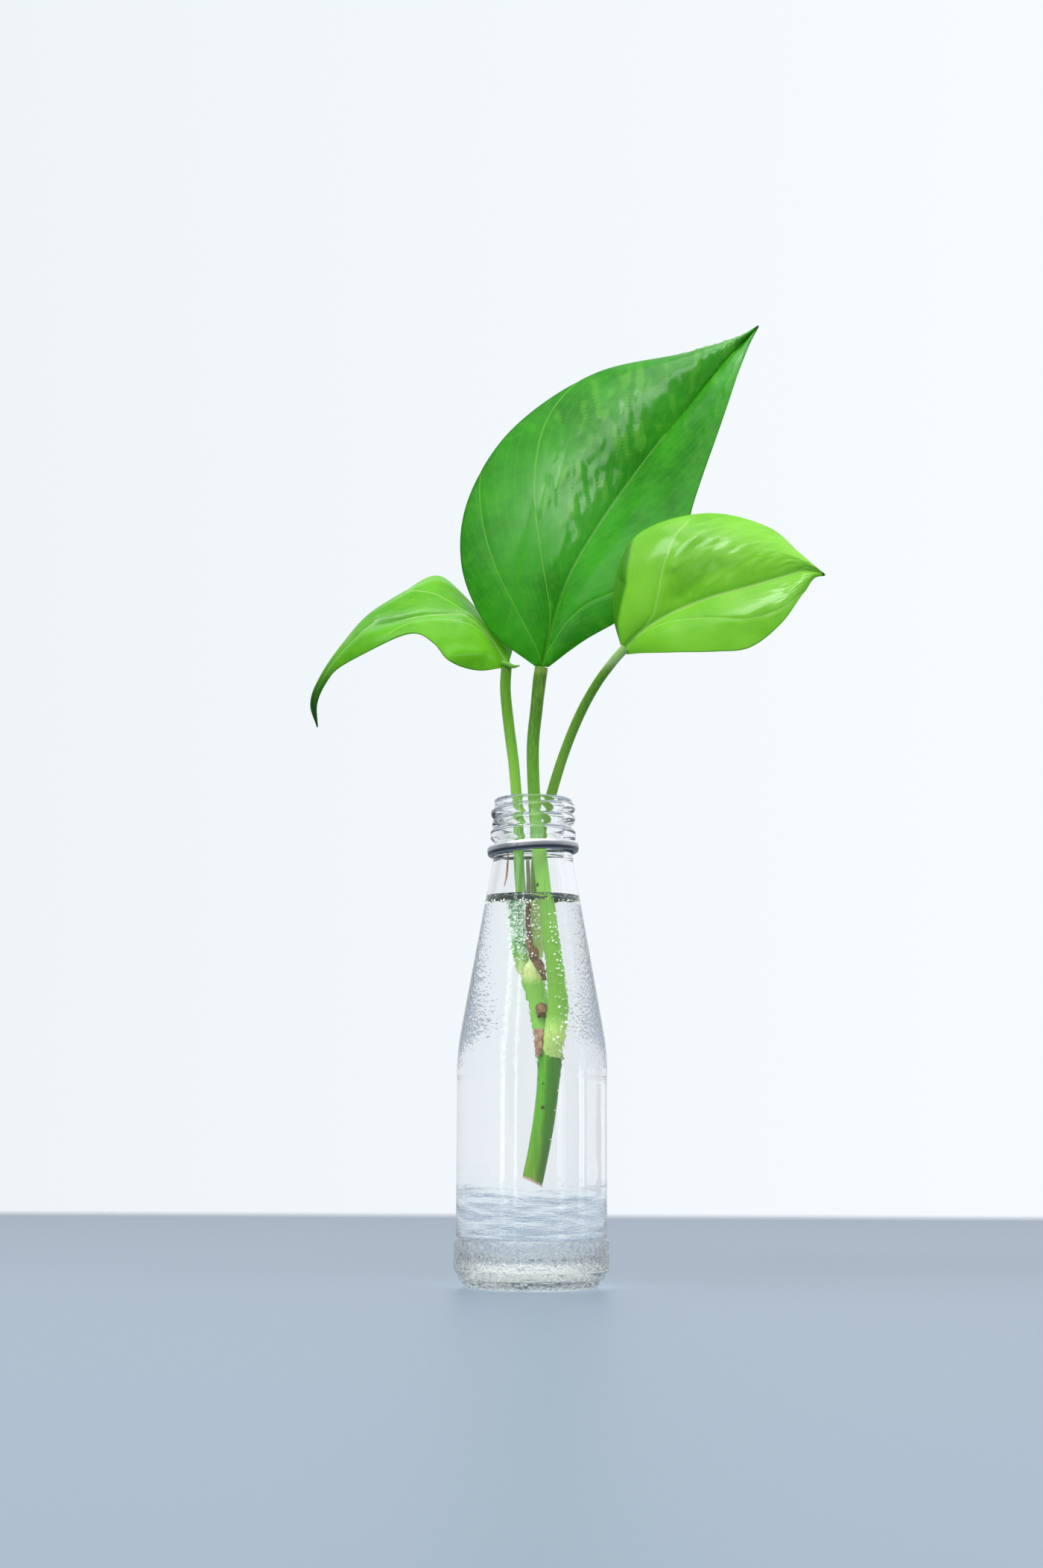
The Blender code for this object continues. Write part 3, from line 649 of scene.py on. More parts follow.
def leaf_finish(name, blade, colours, spots=()):
    """A waxy leaf: fine side veins, named veins, its midrib and small blotches, with painted shade in the
    midrib's groove, on a folded lobe and at the tip, and painted highlights on the quilting's crests.
    """
    shade, flesh, light, vein = colours
    rib_pale, rib_groove_shade = blade["rib_look"]
    recipe = Recipe(
        name, Subsurface_Weight=0.35, Subsurface_Radius=(0.3, 1.0, 0.08), Subsurface_Scale=0.0009,
        Coat_Roughness=0.15, Specular_IOR_Level=0.10,
    )
    place = recipe.place()
    chart = recipe.node("ShaderNodeUVMap", {"uv_map": "blade"})
    along = recipe.part(chart, "X")
    across = recipe.part(chart, "Y") * 2.0 - 1.0
    side = recipe.between(across, -0.001, 0.001)
    slant_left, slant_right = blade["slant"]
    slant = side * (slant_right - slant_left) + slant_left
    rank = along - slant * abs(across)
    wander = recipe.cloud(place, 0.09) * 0.03
    beat = abs(((rank + wander) * 30.0).fraction() - 0.5)
    lively = recipe.between(along, blade["calm"], blade["calm"] - 0.2)
    fine_vein = recipe.between(beat, 0.08, 0.01) * lively
    broad = recipe.cloud(place, 0.035, 3.0, 0.6)
    mottle = recipe.cloud(place, 0.30, 4.0, 0.65)
    colour = recipe.mix(recipe.between(broad, 0.25, 0.62), shade, flesh)
    colour = recipe.mix(recipe.between(mottle, 0.40, 0.80) * 0.22, colour, light)
    # Painted highlight: the quilting's crests are painted lighter.
    colour = recipe.mix(recipe.layer("ridge", 0.06, 0.34) * 0.36, colour, light)
    colour = recipe.mix(fine_vein * 0.18, colour, light)
    strong = recipe.layer("vein_0", 0.34, 0.08)
    for number in range(1, len(blade["veins"])):
        strong = strong.highest(recipe.layer(f"vein_{number}", 0.28, 0.08))
    colour = recipe.mix(strong * 0.55, colour, vein)
    colour = recipe.mix(recipe.layer("rib", 0.75, 0.30) * rib_pale, colour, vein)
    # Painted shade in the midrib's groove
    colour = recipe.mix(recipe.layer("rib", 0.26, 0.08) * rib_groove_shade, colour, shade)
    # Painted shade: the folded-back lobe is painted darker.
    if blade["lobe"]:
        colour = recipe.mix(recipe.layer("lobe", 0.2, 2.2, signed=True) * 0.8, colour, LOBE_SHADE_GREEN)
    edge = recipe.between(abs(across), 0.975, 0.995)
    colour = recipe.mix(edge * 0.5, colour, shade)
    for centre, radius, tint in spots:
        colour = recipe.mix(recipe.spot(place, centre, radius), colour, tint)
    # Painted shade: the tip is painted darker where it curls and droops away from the light.
    colour = recipe.mix(recipe.between(along, blade["shaded_tip"], 0.99), colour, TIP_SHADE_GREEN)
    recipe.set(Base_Color=colour)
    recipe.set(Roughness=0.34 + 0.12 * mottle)
    uneven = 0.6 + 0.4 * recipe.between(broad, 0.35, 0.65)
    recipe.set(Coat_Weight=recipe.layer("shine", 0.0, 1.0) * uneven)
    skin = recipe.cells(place, 1.6)
    recipe.bump(skin * 0.15 + mottle * 0.5 + fine_vein * 0.2, 0.25, 0.10)
    return recipe.material


def stalk_finish(name, tones, spots=(), painted_shade_from=None, cut=False):
    """A smooth fleshy stalk, streaked along its length.

    The tones are (height, colour). Past a given x it darkens, as painted shade on the side away from the
    lamps, and cut gives the cut end its pink.
    """
    recipe = Recipe(
        name, Subsurface_Weight=0.3, Subsurface_Radius=(0.6, 1.0, 0.2), Subsurface_Scale=0.0012,
        Specular_IOR_Level=0.15, Coat_Roughness=0.10,
    )
    place = recipe.place()
    height = recipe.part(place, "Z")
    blotch = recipe.cloud(place, 0.25, 3.0)
    streak = recipe.cloud(recipe.stretched(place, (1.0, 1.0, 0.06)), 1.6, 3.0)
    colour = recipe.by_height(height + (blotch - 0.5) * 1.4, tones)
    colour = recipe.mix(recipe.between(streak, 0.45, 0.7) * 0.3, colour, (0.30, 0.50, 0.06))
    colour = recipe.mix(recipe.between(streak, 0.45, 0.25) * 0.3, colour, (0.03, 0.16, 0.005))
    fleck = recipe.cells(recipe.stretched(place, (1.0, 1.0, 0.35)), 0.9)
    colour = recipe.mix(recipe.between(fleck, 0.16, 0.06) * 0.3, colour, (0.42, 0.60, 0.22))
    # Painted shade: the stalk is painted darker on its side away from the lamps.
    if painted_shade_from is not None:
        lean = recipe.part(place, "X") - painted_shade_from - (height - 40.0) * 0.06
        colour = recipe.mix(recipe.between(lean + blotch, 0.0, 1.8) * 0.6, colour, (0.015, 0.10, 0.001))
    if cut:
        reach = recipe.part(place, "X") * CUT_NORMAL[0] + height * CUT_NORMAL[2]
        reach = reach - Vector(CUT_POINT).dot(Vector(CUT_NORMAL)) + (blotch - 0.5) * 2.0
        colour = recipe.mix(recipe.between(reach, 0.75, 0.35), colour, CUT_PINK)
    for centre, radius, tint in spots:
        colour = recipe.mix(recipe.spot(place, centre, radius), colour, tint)
    recipe.set(Base_Color=colour)
    recipe.set(Roughness=0.36 + 0.15 * blotch, Coat_Weight=0.25 + 0.3 * blotch)
    recipe.bump(streak + fleck * 0.4, 0.3, 0.1)
    return recipe.material


def dry_finish(name, dark, pale, olive_above=None):
    """Dead brown tissue, fibrous along its length, and olive above a height where it is still fresh."""
    recipe = Recipe(name)
    place = recipe.place()
    fibre = recipe.cloud(recipe.stretched(place, (1.0, 1.0, 0.15)), 2.6, 5.0, 0.65)
    patch = recipe.cloud(place, 0.4, 3.0)
    colour = recipe.mix(recipe.between(fibre, 0.35, 0.7), dark, pale)
    colour = recipe.mix(recipe.between(patch, 0.5, 0.75) * 0.5, colour, (0.50, 0.34, 0.20))
    if olive_above:
        fresh = recipe.between(recipe.part(place, "Z"), olive_above, olive_above + 6.0)
        colour = recipe.mix(fresh, colour, (0.19, 0.24, 0.11))
    recipe.set(Base_Color=colour)
    recipe.set(Roughness=0.6 + 0.3 * fibre)
    recipe.bump(fibre, 0.7, 0.25)
    return recipe.material


def speck_finish():
    recipe = Recipe("waterline_dark_specks")
    place = recipe.place()
    tone = recipe.cloud(place, 0.9, 3.0)
    colour = recipe.mix(recipe.between(tone, 0.4, 0.65), (0.015, 0.028, 0.02), (0.06, 0.085, 0.06))
    recipe.set(Base_Color=colour)
    recipe.set(Roughness=0.6 + 0.3 * tone)
    return recipe.material


def floor_finish():
    recipe = Recipe("pale_floor")
    place = recipe.place()
    grain = recipe.cloud(place, 0.4, 4.0)
    colour = recipe.mix(grain, (0.215, 0.275, 0.35), (0.24, 0.305, 0.385))
    recipe.set(Base_Color=colour, Roughness=0.38 + 0.1 * grain)
    away = recipe.part(place, "Y")
    recipe.set(Alpha=recipe.between(away, 740.0, 600.0))
    return recipe.material


def curve_at(points, share):
    """A smooth curve through points, read at a share of the way along."""
    place_on = share * (len(points) - 1)
    index = min(int(place_on), len(points) - 2)
    t = place_on - index
    here, after = Vector(points[index]), Vector(points[index + 1])
    before = Vector(points[index - 1]) if index > 0 else 2 * here - after
    beyond = Vector(points[index + 2]) if index + 2 < len(points) else 2 * after - here
    start_slope = (after - before) / 2
    end_slope = (beyond - here) / 2
    return (
        here * (2 * t**3 - 3 * t**2 + 1)
        + start_slope * (t**3 - 2 * t**2 + t)
        + after * (3 * t**2 - 2 * t**3)
        + end_slope * (t**3 - t**2)
    )


def linked(name, data):
    """An object that holds the data, placed in the scene."""
    made = bpy.data.objects.new(name, data)
    bpy.context.scene.collection.objects.link(made)
    return made


def mesh_of(name, shape, material):
    """A bmesh becomes a mesh of one material."""
    mesh = bpy.data.meshes.new(name)
    shape.to_mesh(mesh)
    shape.free()
    mesh.materials.append(material)
    return mesh


def finished(name, shape, material, slot, *nodes, crisp=40):
    """A bmesh in millimetres about the bottle's axis becomes a piece of the object."""
    bmesh.ops.scale(shape, vec=(MM, MM, MM), verts=shape.verts)
    bmesh.ops.translate(shape, vec=AXIS, verts=shape.verts)
    mesh = mesh_of(name, shape, material)
    mesh.shade_smooth()
    mesh.set_sharp_from_angle(angle=math.radians(crisp))
    piece = linked(name, mesh)
    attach(piece, "root")
    if nodes:
        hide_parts(*nodes)
    return piece


def thickened(piece, thickness):
    """The same thin piece, given a thickness in millimetres about its middle."""
    wall = piece.modifiers.new("Thickness", "SOLIDIFY")
    wall.thickness = thickness * MM
    wall.offset = 0.0
    return piece


def turned(profile, steps=SEGMENTS, closed=True):
    """A profile of (radius, height) points turned round the axis."""
    shape = bmesh.new()
    points = [shape.verts.new((r, 0.0, z)) for r, z in profile]
    edges = [shape.edges.new(pair) for pair in zip(points, points[1:])]
    if closed:
        edges.append(shape.edges.new((points[-1], points[0])))
    bmesh.ops.spin(
        shape, geom=points + edges, cent=(0, 0, 0), axis=(0, 0, 1), dvec=(0, 0, 0),
        angle=2 * math.pi, steps=steps, use_merge=True, use_duplicate=False,
    )
    bmesh.ops.remove_doubles(shape, verts=shape.verts, dist=0.001)
    bmesh.ops.recalc_face_normals(shape, faces=shape.faces)
    return shape


def dense(profile, step, low=-1.0, high=RIM_Z):
    """The same profile with more points along the stretches between two heights."""
    filled = [profile[0]]
    for (r0, z0), (r1, z1) in zip(profile, profile[1:]):
        inside = low <= min(z0, z1) and max(z0, z1) <= high
        count = max(1, round(math.hypot(r1 - r0, z1 - z0) / step)) if inside else 1
        for i in range(1, count + 1):
            filled.append((r0 + (r1 - r0) * i / count, z0 + (z1 - z0) * i / count))
    return filled


def clamped(value, low=0.0, high=1.0):
    return min(high, max(low, value))


def smooth_step(value, low, high):
    """0 at low, 1 at high, and smooth in between; low may be the larger."""
    share = clamped((value - low) / (high - low))
    return share * share * (3 - 2 * share)


def cone_outer_r(z):
    """Outer radius of the bottle's cone at a height."""
    share = (z - CONE_FOOT_Z) / (NECK_Z - CONE_FOOT_Z)
    return CONE_FOOT_R + share * (NECK_R - CONE_FOOT_R)


def shoulder_r(z, body_r, wall, sharpness):
    """Radius where the body turns softly into the cone; a lower sharpness makes a rounder shoulder."""
    cone_r = cone_outer_r(z) - wall
    gap = abs(cone_r - body_r)
    return min(cone_r, body_r) - math.log(1.0 + math.exp(-sharpness * gap)) / sharpness


def inner_profile():
    """The bottle's inside from the mouth down to the middle of the floor."""
    body_r = PANEL_R - WALL
    return [
        (BORE_R, RIM_Z - 1.1),
        (BORE_R, RIM_Z - 1.6),
        (BORE_R, NECK_Z + 0.6),
        (BORE_R, NECK_Z - 0.6),
        *((shoulder_r(z, body_r, WALL, 1.3), z) for z in INNER_STEPS),
        (body_r, FLOOR_Z + 6.4),
        (body_r, FLOOR_Z + 6.0),
        (body_r - 0.7, FLOOR_Z + 2.7),
        (body_r - 2.4, FLOOR_Z + 0.6),
        (body_r - 5.4, FLOOR_Z - 0.4),
        (body_r - 13.0, FLOOR_Z - 0.2),
        (0.0, FLOOR_Z),
    ]


def inner_wave(x, y, z):
    """How far the inside of the glass waves in and out, most near its foot."""
    depth = WAVE_LEAST + WAVE_MORE * smooth_step(z, WAVES_TOP_Z, WAVES_FULL_Z)
    return depth * noise.noise(Vector((x / 8.0, y / 8.0, z / 1.7)))


def wave_inside(vertex, radius):
    """Moves a point of the inner wall in or out; the middle of the floor stays."""
    x, y, z = vertex.co
    if radius > 1.0:
        grown = 1.0 + inner_wave(x, y, z) / radius
        vertex.co = (x * grown, y * grown, z)


def outer_profile():
    """The bottle's outside from the middle of the push-up to the rim."""
    underside = [
        (0.0, PUSH_UP),
        (6.5, PUSH_UP - 0.2),
        (12.5, PUSH_UP - 1.0),
        (17.4, 0.9),
        (CONTACT_INNER_R, 0.0),
        (CONTACT_OUTER_R, 0.0),
    ]
    heel = [
        (CONTACT_OUTER_R + 0.5, 0.2),
        (CONTACT_OUTER_R + 1.1, 0.8),
        (CONTACT_OUTER_R + 1.55, 1.3),
        (BAND_R - 1.6, 2.5),
        (BAND_R - 0.7, BAND_BOTTOM_Z - 0.5),
        (BAND_R - 0.1, BAND_BOTTOM_Z),
    ]
    band = dense([(BAND_R, BAND_BOTTOM_Z + 0.4), (BAND_R, 9.0), (BAND_R - 0.05, BAND_TOP_Z - 0.4)], BAND_ROW)
    body = [
        (BAND_R - 0.3, BAND_TOP_Z - 0.1),
        (PANEL_R + 0.05, BAND_TOP_Z + 0.2),
        (PANEL_R, BAND_TOP_Z + 0.6),
        (PANEL_R, BAND_TOP_Z + 1.0),
        (PANEL_R, PANEL_TOP_Z - 0.6),
        (PANEL_R, PANEL_TOP_Z - 0.2),
        (PANEL_R + 0.04, PANEL_TOP_Z),
        (SHOULDER_R - 0.06, PANEL_TOP_Z + 0.3),
        (SHOULDER_R - 0.04, PANEL_TOP_Z + 0.6),
        (SHOULDER_R - 0.04, PANEL_TOP_Z + 1.0),
    ]
    cone_low = SHOULDER_Z - 1.5
    cone_tall = NECK_Z + 0.4 - SHOULDER_Z + 1.5
    rows = round(cone_tall / CONE_ROW)
    cone = []
    for row in range(rows + 1):
        z = cone_low + cone_tall * row / rows
        r = shoulder_r(z, SHOULDER_R, 0.0, 2.3)
        if z > NECK_Z - 2.0:
            r = max(r, NECK_R + 0.06 * math.exp((NECK_Z - z) / 0.8))
        cone.append((r, z))
    bead = [
        (NECK_R, BEAD_BOTTOM_Z),
        (NECK_R + 0.4, BEAD_BOTTOM_Z + 0.25),
        (BEAD_R - 0.4, BEAD_BOTTOM_Z + 0.7),
        (BEAD_R - 0.1, BEAD_BOTTOM_Z + 1.1),
        (BEAD_R, BEAD_BOTTOM_Z + 1.5),
        (BEAD_R, BEAD_BOTTOM_Z + 1.8),
        (BEAD_R, BEAD_TOP_Z - 1.1),
        (BEAD_R, BEAD_TOP_Z - 0.8),
        (BEAD_R - 0.15, BEAD_TOP_Z - 0.3),
        (BEAD_R - 0.5, BEAD_TOP_Z),
        (FINISH_R + 0.3, BEAD_TOP_Z + 0.2),
    ]
    threaded = dense([(FINISH_R, BEAD_TOP_Z + 0.45), (FINISH_R, RIM_Z - 1.9)], THREAD_ROW)
    rim = [
        (RIM_R - 0.05, RIM_Z - 1.6),
        (RIM_R, RIM_Z - 1.2),
        (RIM_R, RIM_Z - 0.7),
        (RIM_R - 0.15, RIM_Z - 0.3),
        (RIM_R - 0.5, RIM_Z - 0.07),
        (RIM_R - 1.1, RIM_Z),
        (BORE_R + 0.7, RIM_Z - 0.08),
        (BORE_R + 0.2, RIM_Z - 0.4),
    ]
    return underside + heel + band + body + cone + bead + threaded + rim


def thread_rise(x, y, z):
    """How far the thread lifts the neck's surface at a place."""
    turn = math.atan2(y, x) / (2 * math.pi) - THREAD_START_TURN
    best = 0.0
    for whole in range(-1, math.ceil(THREAD_TURNS) + 2):
        along = turn + whole
        if not 0.0 <= along <= THREAD_TURNS:
            continue
        off = abs(z - THREAD_START_Z - THREAD_PITCH * along)
        if off < THREAD_HALF_WIDTH:
            ends = min(1.0, along / THREAD_FADE_TURNS, (THREAD_TURNS - along) / THREAD_FADE_TURNS)
            best = max(best, ends * (1.0 - (off / THREAD_HALF_WIDTH) ** 2) ** 0.6)
    return best * (THREAD_R - FINISH_R)


def outer_rise(x, y, z):
    """Thread, hammer marks, pebbles and knurls on the outside of the glass."""
    place = Vector((x, y, z))
    if BEAD_TOP_Z < z < RIM_Z - 1.5:
        return thread_rise(x, y, z)
    if HAMMER_BOTTOM_Z < z < HAMMER_TOP_Z:
        fade = smooth_step(z, HAMMER_BOTTOM_Z, HAMMER_BOTTOM_Z + 2.5)
        fade *= smooth_step(z, HAMMER_TOP_Z, HAMMER_TOP_Z - 9.0)
        fade *= 0.2 + 0.8 * smooth_step(abs(x), 4.0, 14.0)
        near = noise.voronoi(place / HAMMER_CELL)[0][0]
        return HAMMER_DEPTH * fade * (0.45 - near)
    if BAND_BOTTOM_Z + 0.8 < z < BAND_TOP_Z - 0.5:
        near = noise.voronoi(place / PEBBLE_CELL)[0][0]
        return PEBBLE_DEPTH * (0.4 - near)
    if KNURL_BOTTOM_Z < z < KNURL_TOP_Z and math.hypot(x, y) > CONTACT_OUTER_R:
        return KNURL_DEPTH * math.cos(KNURLS * math.atan2(y, x))
    return 0.0


def make_bottle(glass):
    """The bottle as one closed turned shape, its inner wall waved and its outside given its relief."""
    shape = turned(outer_profile() + dense(inner_profile(), INNER_ROW, FLOOR_Z + 6.3, WAVES_TOP_Z))
    for vertex in shape.verts:
        x, y, z = vertex.co
        radius = math.hypot(x, y)
        wall_middle = min(PANEL_R, cone_outer_r(z)) - WALL / 2
        if z > NECK_Z:
            wall_middle = BORE_R + 1.0
        on_floor = PUSH_UP + 1.0 < z < FLOOR_Z + 1.5 and radius < BAND_R - 2.0
        if radius < wall_middle or on_floor:
            wave_inside(vertex, radius)
        else:
            grown = 1.0 + outer_rise(x, y, z) / max(radius, 1.0)
            vertex.co = (x * grown, y * grown, z)
    return finished("bottle_glass", shape, glass, "clear_glass", "bottle", crisp=85)


def make_water(water):
    """The water, a little into the glass so that no air shows between them, with its meniscus."""
    wet = [(r, z) for r, z in inner_profile() if z <= WATER_TOP_Z]
    walls = [(r + WATER_INTO_GLASS if r > 0.0 else 0.0, z) for r, z in wet]
    walls = [(r, z - WATER_INTO_GLASS if z < FLOOR_Z + 1.0 else z) for r, z in walls]
    edge_r = walls[0][0]
    surface = [(0.0, WATER_TOP_Z), (edge_r - 0.1, WATER_TOP_Z)]
    shape = turned(dense(surface, 0.5) + dense(walls, 1.2), steps=ROUND_STEPS, closed=False)
    for vertex in shape.verts:
        x, y, z = vertex.co
        radius = math.hypot(x, y)
        if z > WATER_TOP_Z - 0.01:
            climb = MENISCUS_RISE * math.exp((radius - edge_r) / MENISCUS_REACH)
            swell = SWELL * noise.noise(Vector((x / 2.2, y / 2.2, 3.0)))
            vertex.co.z = z + climb + swell
        else:
            wave_inside(vertex, radius)
    return finished("water_fill", shape, water, "water", "water")


def make_ring(metal):
    """The loose band: a rounded section turned round, its upper edge a little uneven, then tilted."""
    middle_r = (RING_INNER_R + RING_OUTER_R) / 2
    half = RING_HEIGHT / 2
    reach = (RING_OUTER_R - RING_INNER_R) / 2
    profile = []
    for step in range(RING_SIDES):
        angle = 2 * math.pi * step / RING_SIDES
        flat = abs(math.cos(angle)) ** 0.75
        tall = abs(math.sin(angle)) ** 0.8
        profile.append((
            middle_r + math.copysign(flat, math.cos(angle)) * reach,
            math.copysign(tall, math.sin(angle)) * half,
        ))
    shape = turned(profile, steps=ROUND_STEPS)
    for vertex in shape.verts:
        x, y, z = vertex.co
        if z > 0.7 * half:
            turn = math.atan2(y, x)
            chip = noise.noise(Vector((5 * math.cos(turn), 5 * math.sin(turn), 0.5)))
            vertex.co.z -= RING_CHIP * max(0.0, chip)
    bmesh.ops.rotate(
        shape, verts=shape.verts, cent=(0, 0, 0),
        matrix=Matrix.Rotation(-math.radians(RING_TILT_DEG), 3, "Y"),
    )
    bmesh.ops.translate(shape, verts=shape.verts, vec=(0, 0, RING_Z))
    return finished("tamper_band", shape, metal, "grey_metal", "tamper_ring")


def rod(route, rings, sides=32, groove=0.0):
    """A capped cylinder bent along a route, with a shallow groove on its far side."""
    shape = bmesh.new()
    bmesh.ops.create_cone(shape, cap_ends=True, segments=sides, radius1=1, radius2=1, depth=1)
    upright = [e for e in shape.edges if abs(e.verts[0].co.z - e.verts[1].co.z) > 0.5]
    bmesh.ops.subdivide_edges(shape, edges=upright, cuts=rings, use_grid_fill=True)
    for vertex in shape.verts:
        x, y, z = vertex.co
        share = clamped(z + 0.5)
        here = curve_at(route, share)
        ahead = curve_at(route, min(1.0, share + 0.01)) - curve_at(route, max(0.0, share - 0.01))
        forward = Vector(ahead[:3]).normalized()
        right = forward.cross(Vector((0, 1, 0))).normalized()
        back = right.cross(forward)
        dip = 1.0 - groove * math.exp(-((y - 1.0) / 0.18) ** 2)
        lump = 1.0 + 0.02 * noise.noise(Vector((x, y, 7.0 * share)) * 1.7)
        radius = here[3] * dip * lump
        vertex.co = Vector(here[:3]) + (right * x - back * y) * radius
    bmesh.ops.recalc_face_normals(shape, faces=shape.faces)
    return shape


def make_stem(material):
    """The cut vine: a rod whose foot is cut on a slant and sunk a little inside its rim."""
    shape = rod(STEM, 110)
    bmesh.ops.bisect_plane(
        shape, geom=shape.verts[:] + shape.edges[:] + shape.faces[:], dist=0.001,
        plane_co=CUT_POINT, plane_no=CUT_NORMAL, clear_inner=True,
    )
    rim = [edge for edge in shape.edges if edge.is_boundary]
    made = bmesh.ops.holes_fill(shape, edges=rim, sides=0)
    bmesh.ops.inset_region(shape, faces=made["faces"], thickness=0.35, depth=-0.15)
    bmesh.ops.recalc_face_normals(shape, faces=shape.faces)
    return finished("stem_rod", shape, material, "stem_green", "stem")


def make_stalk(name, route, material, node):
    return finished(name, rod(route, STALK_RINGS, groove=STALK_GROOVE), material, "stalk_green", node)


def make_stub(material):
    shape = rod(ROOT_STUB, 24, sides=20)
    for vertex in shape.verts:
        vertex.co += vertex.normal * STUB_LUMPS * noise.noise(vertex.co * 1.5)
    return finished("root_stub_dry", shape, material, "dry_brown", "root_stub")


def make_sheath(name, route, material, node):
    """A dry torn strip: ragged edges, curled across and crumpled along."""
    shape = bmesh.new()
    bmesh.ops.create_grid(shape, x_segments=70, y_segments=10, size=0.5)
    for vertex in shape.verts:
        share = clamped(vertex.co.x + 0.5)
        side = 2 * vertex.co.y
        x, y, z, half = curve_at(route, share)
        half *= 1.0 - 0.25 * smooth_step(z, 106.0, 112.0)
        ragged = 1.0 + 0.6 * noise.noise(Vector((11 * share, side, 2.0)))
        crumple = 0.3 * noise.noise(Vector((14 * share, 2 * side, 5.0)))
        vertex.co = (x + side * half * ragged, y + 0.3 * side * side + crumple * 0.6, z)
    bmesh.ops.recalc_face_normals(shape, faces=shape.faces)
    return thickened(finished(name, shape, material, "dry_brown", node), SHEATH_THICKNESS)


def vein_offset(route, along, across, half_width, length):
    """Signed distance in millimetres from a side vein, given as (along, across) points."""
    if along <= route[0][0]:
        (u0, v0), (u1, v1) = route[0], route[1]
    elif along >= route[-1][0]:
        (u0, v0), (u1, v1) = route[-2], route[-1]
    else:
        pairs = zip(route, route[1:])
        (u0, v0), (u1, v1) = next(pair for pair in pairs if pair[0][0] <= along <= pair[1][0])
    slope = (v1 - v0) / (u1 - u0)
    gap = across - (v0 + slope * (along - u0))
    off = gap * half_width / math.hypot(1.0, slope * half_width / length)
    beyond = max(0.0, route[0][0] - along, along - route[-1][0]) * length
    return off if beyond == 0.0 else math.copysign(math.hypot(off, beyond) + 0.3, off)


def blade_point(blade, u, v):
    """The blade's middle surface: u runs from stalk to tip, v from the left edge, -1, to the right, 1."""
    mid = curve_at(blade["mid"], u)
    edge = curve_at(blade["left" if v < 0 else "right"], u)
    out = abs(v)
    swell = math.sin(math.pi * u)
    bulge = blade["bulge"][0 if v < 0 else 1] * 4 * out * (1 - out) * swell**0.6
    ripple = blade["ripple"] * math.sin(6 * math.pi * u + v) * out**2 * swell
    return mid + (edge - mid) * out + Vector(blade["face"]) * (bulge + ripple)


def quilting(blade, u, v, place, inward):
    """Soft ridges between the side veins; inward is the distance in millimetres inside the first of them."""
    fade = smooth_step(u, 0.14, 0.4) * smooth_step(abs(v), 0.02, 0.10)
    fade *= smooth_step(u, blade["calm"], blade["calm"] - 0.15)
    if blade["upright"]:
        beat = noise.noise(Vector((place.x / 2.5, place.z / 12.0, 1.0)))
        small = noise.noise(Vector((place.x / 1.5, place.z / 4.5, 8.0)))
    else:
        rank = u - blade["slant"][0 if v < 0 else 1] * abs(v)
        beat = noise.noise(Vector((rank * 30.0, abs(v) * 8.0, 1.0 + 3.0 * (v > 0))))
        small = noise.noise(Vector((rank * 52.0, abs(v) * 18.0, 8.0)))
    if v > 0:
        fade *= (0.15 + 0.45 * smooth_step(u, 0.5, 0.75)) * smooth_step(v, 1.0, 0.7)
    else:
        fade *= smooth_step(inward, -1.0, 5.0) * smooth_step(v, -1.0, -0.85)
    return fade * (beat + 0.45 * small)


def stroke_height(strokes, along, across, half_width, length):
    """Long soft swellings and dips; each is (u, v, u, v, width, height) with the last two in millimetres."""
    total = 0.0
    here = Vector((along * length, across * half_width))
    for u0, v0, u1, v1, width, height in strokes:
        start = Vector((u0 * length, v0 * half_width))
        end = Vector((u1 * length, v1 * half_width))
        way = end - start
        share = clamped((here - start).dot(way) / way.length_squared)
        away = (here - start - way * share).length
        total += height * math.exp(-((away / width) ** 2))
    return total


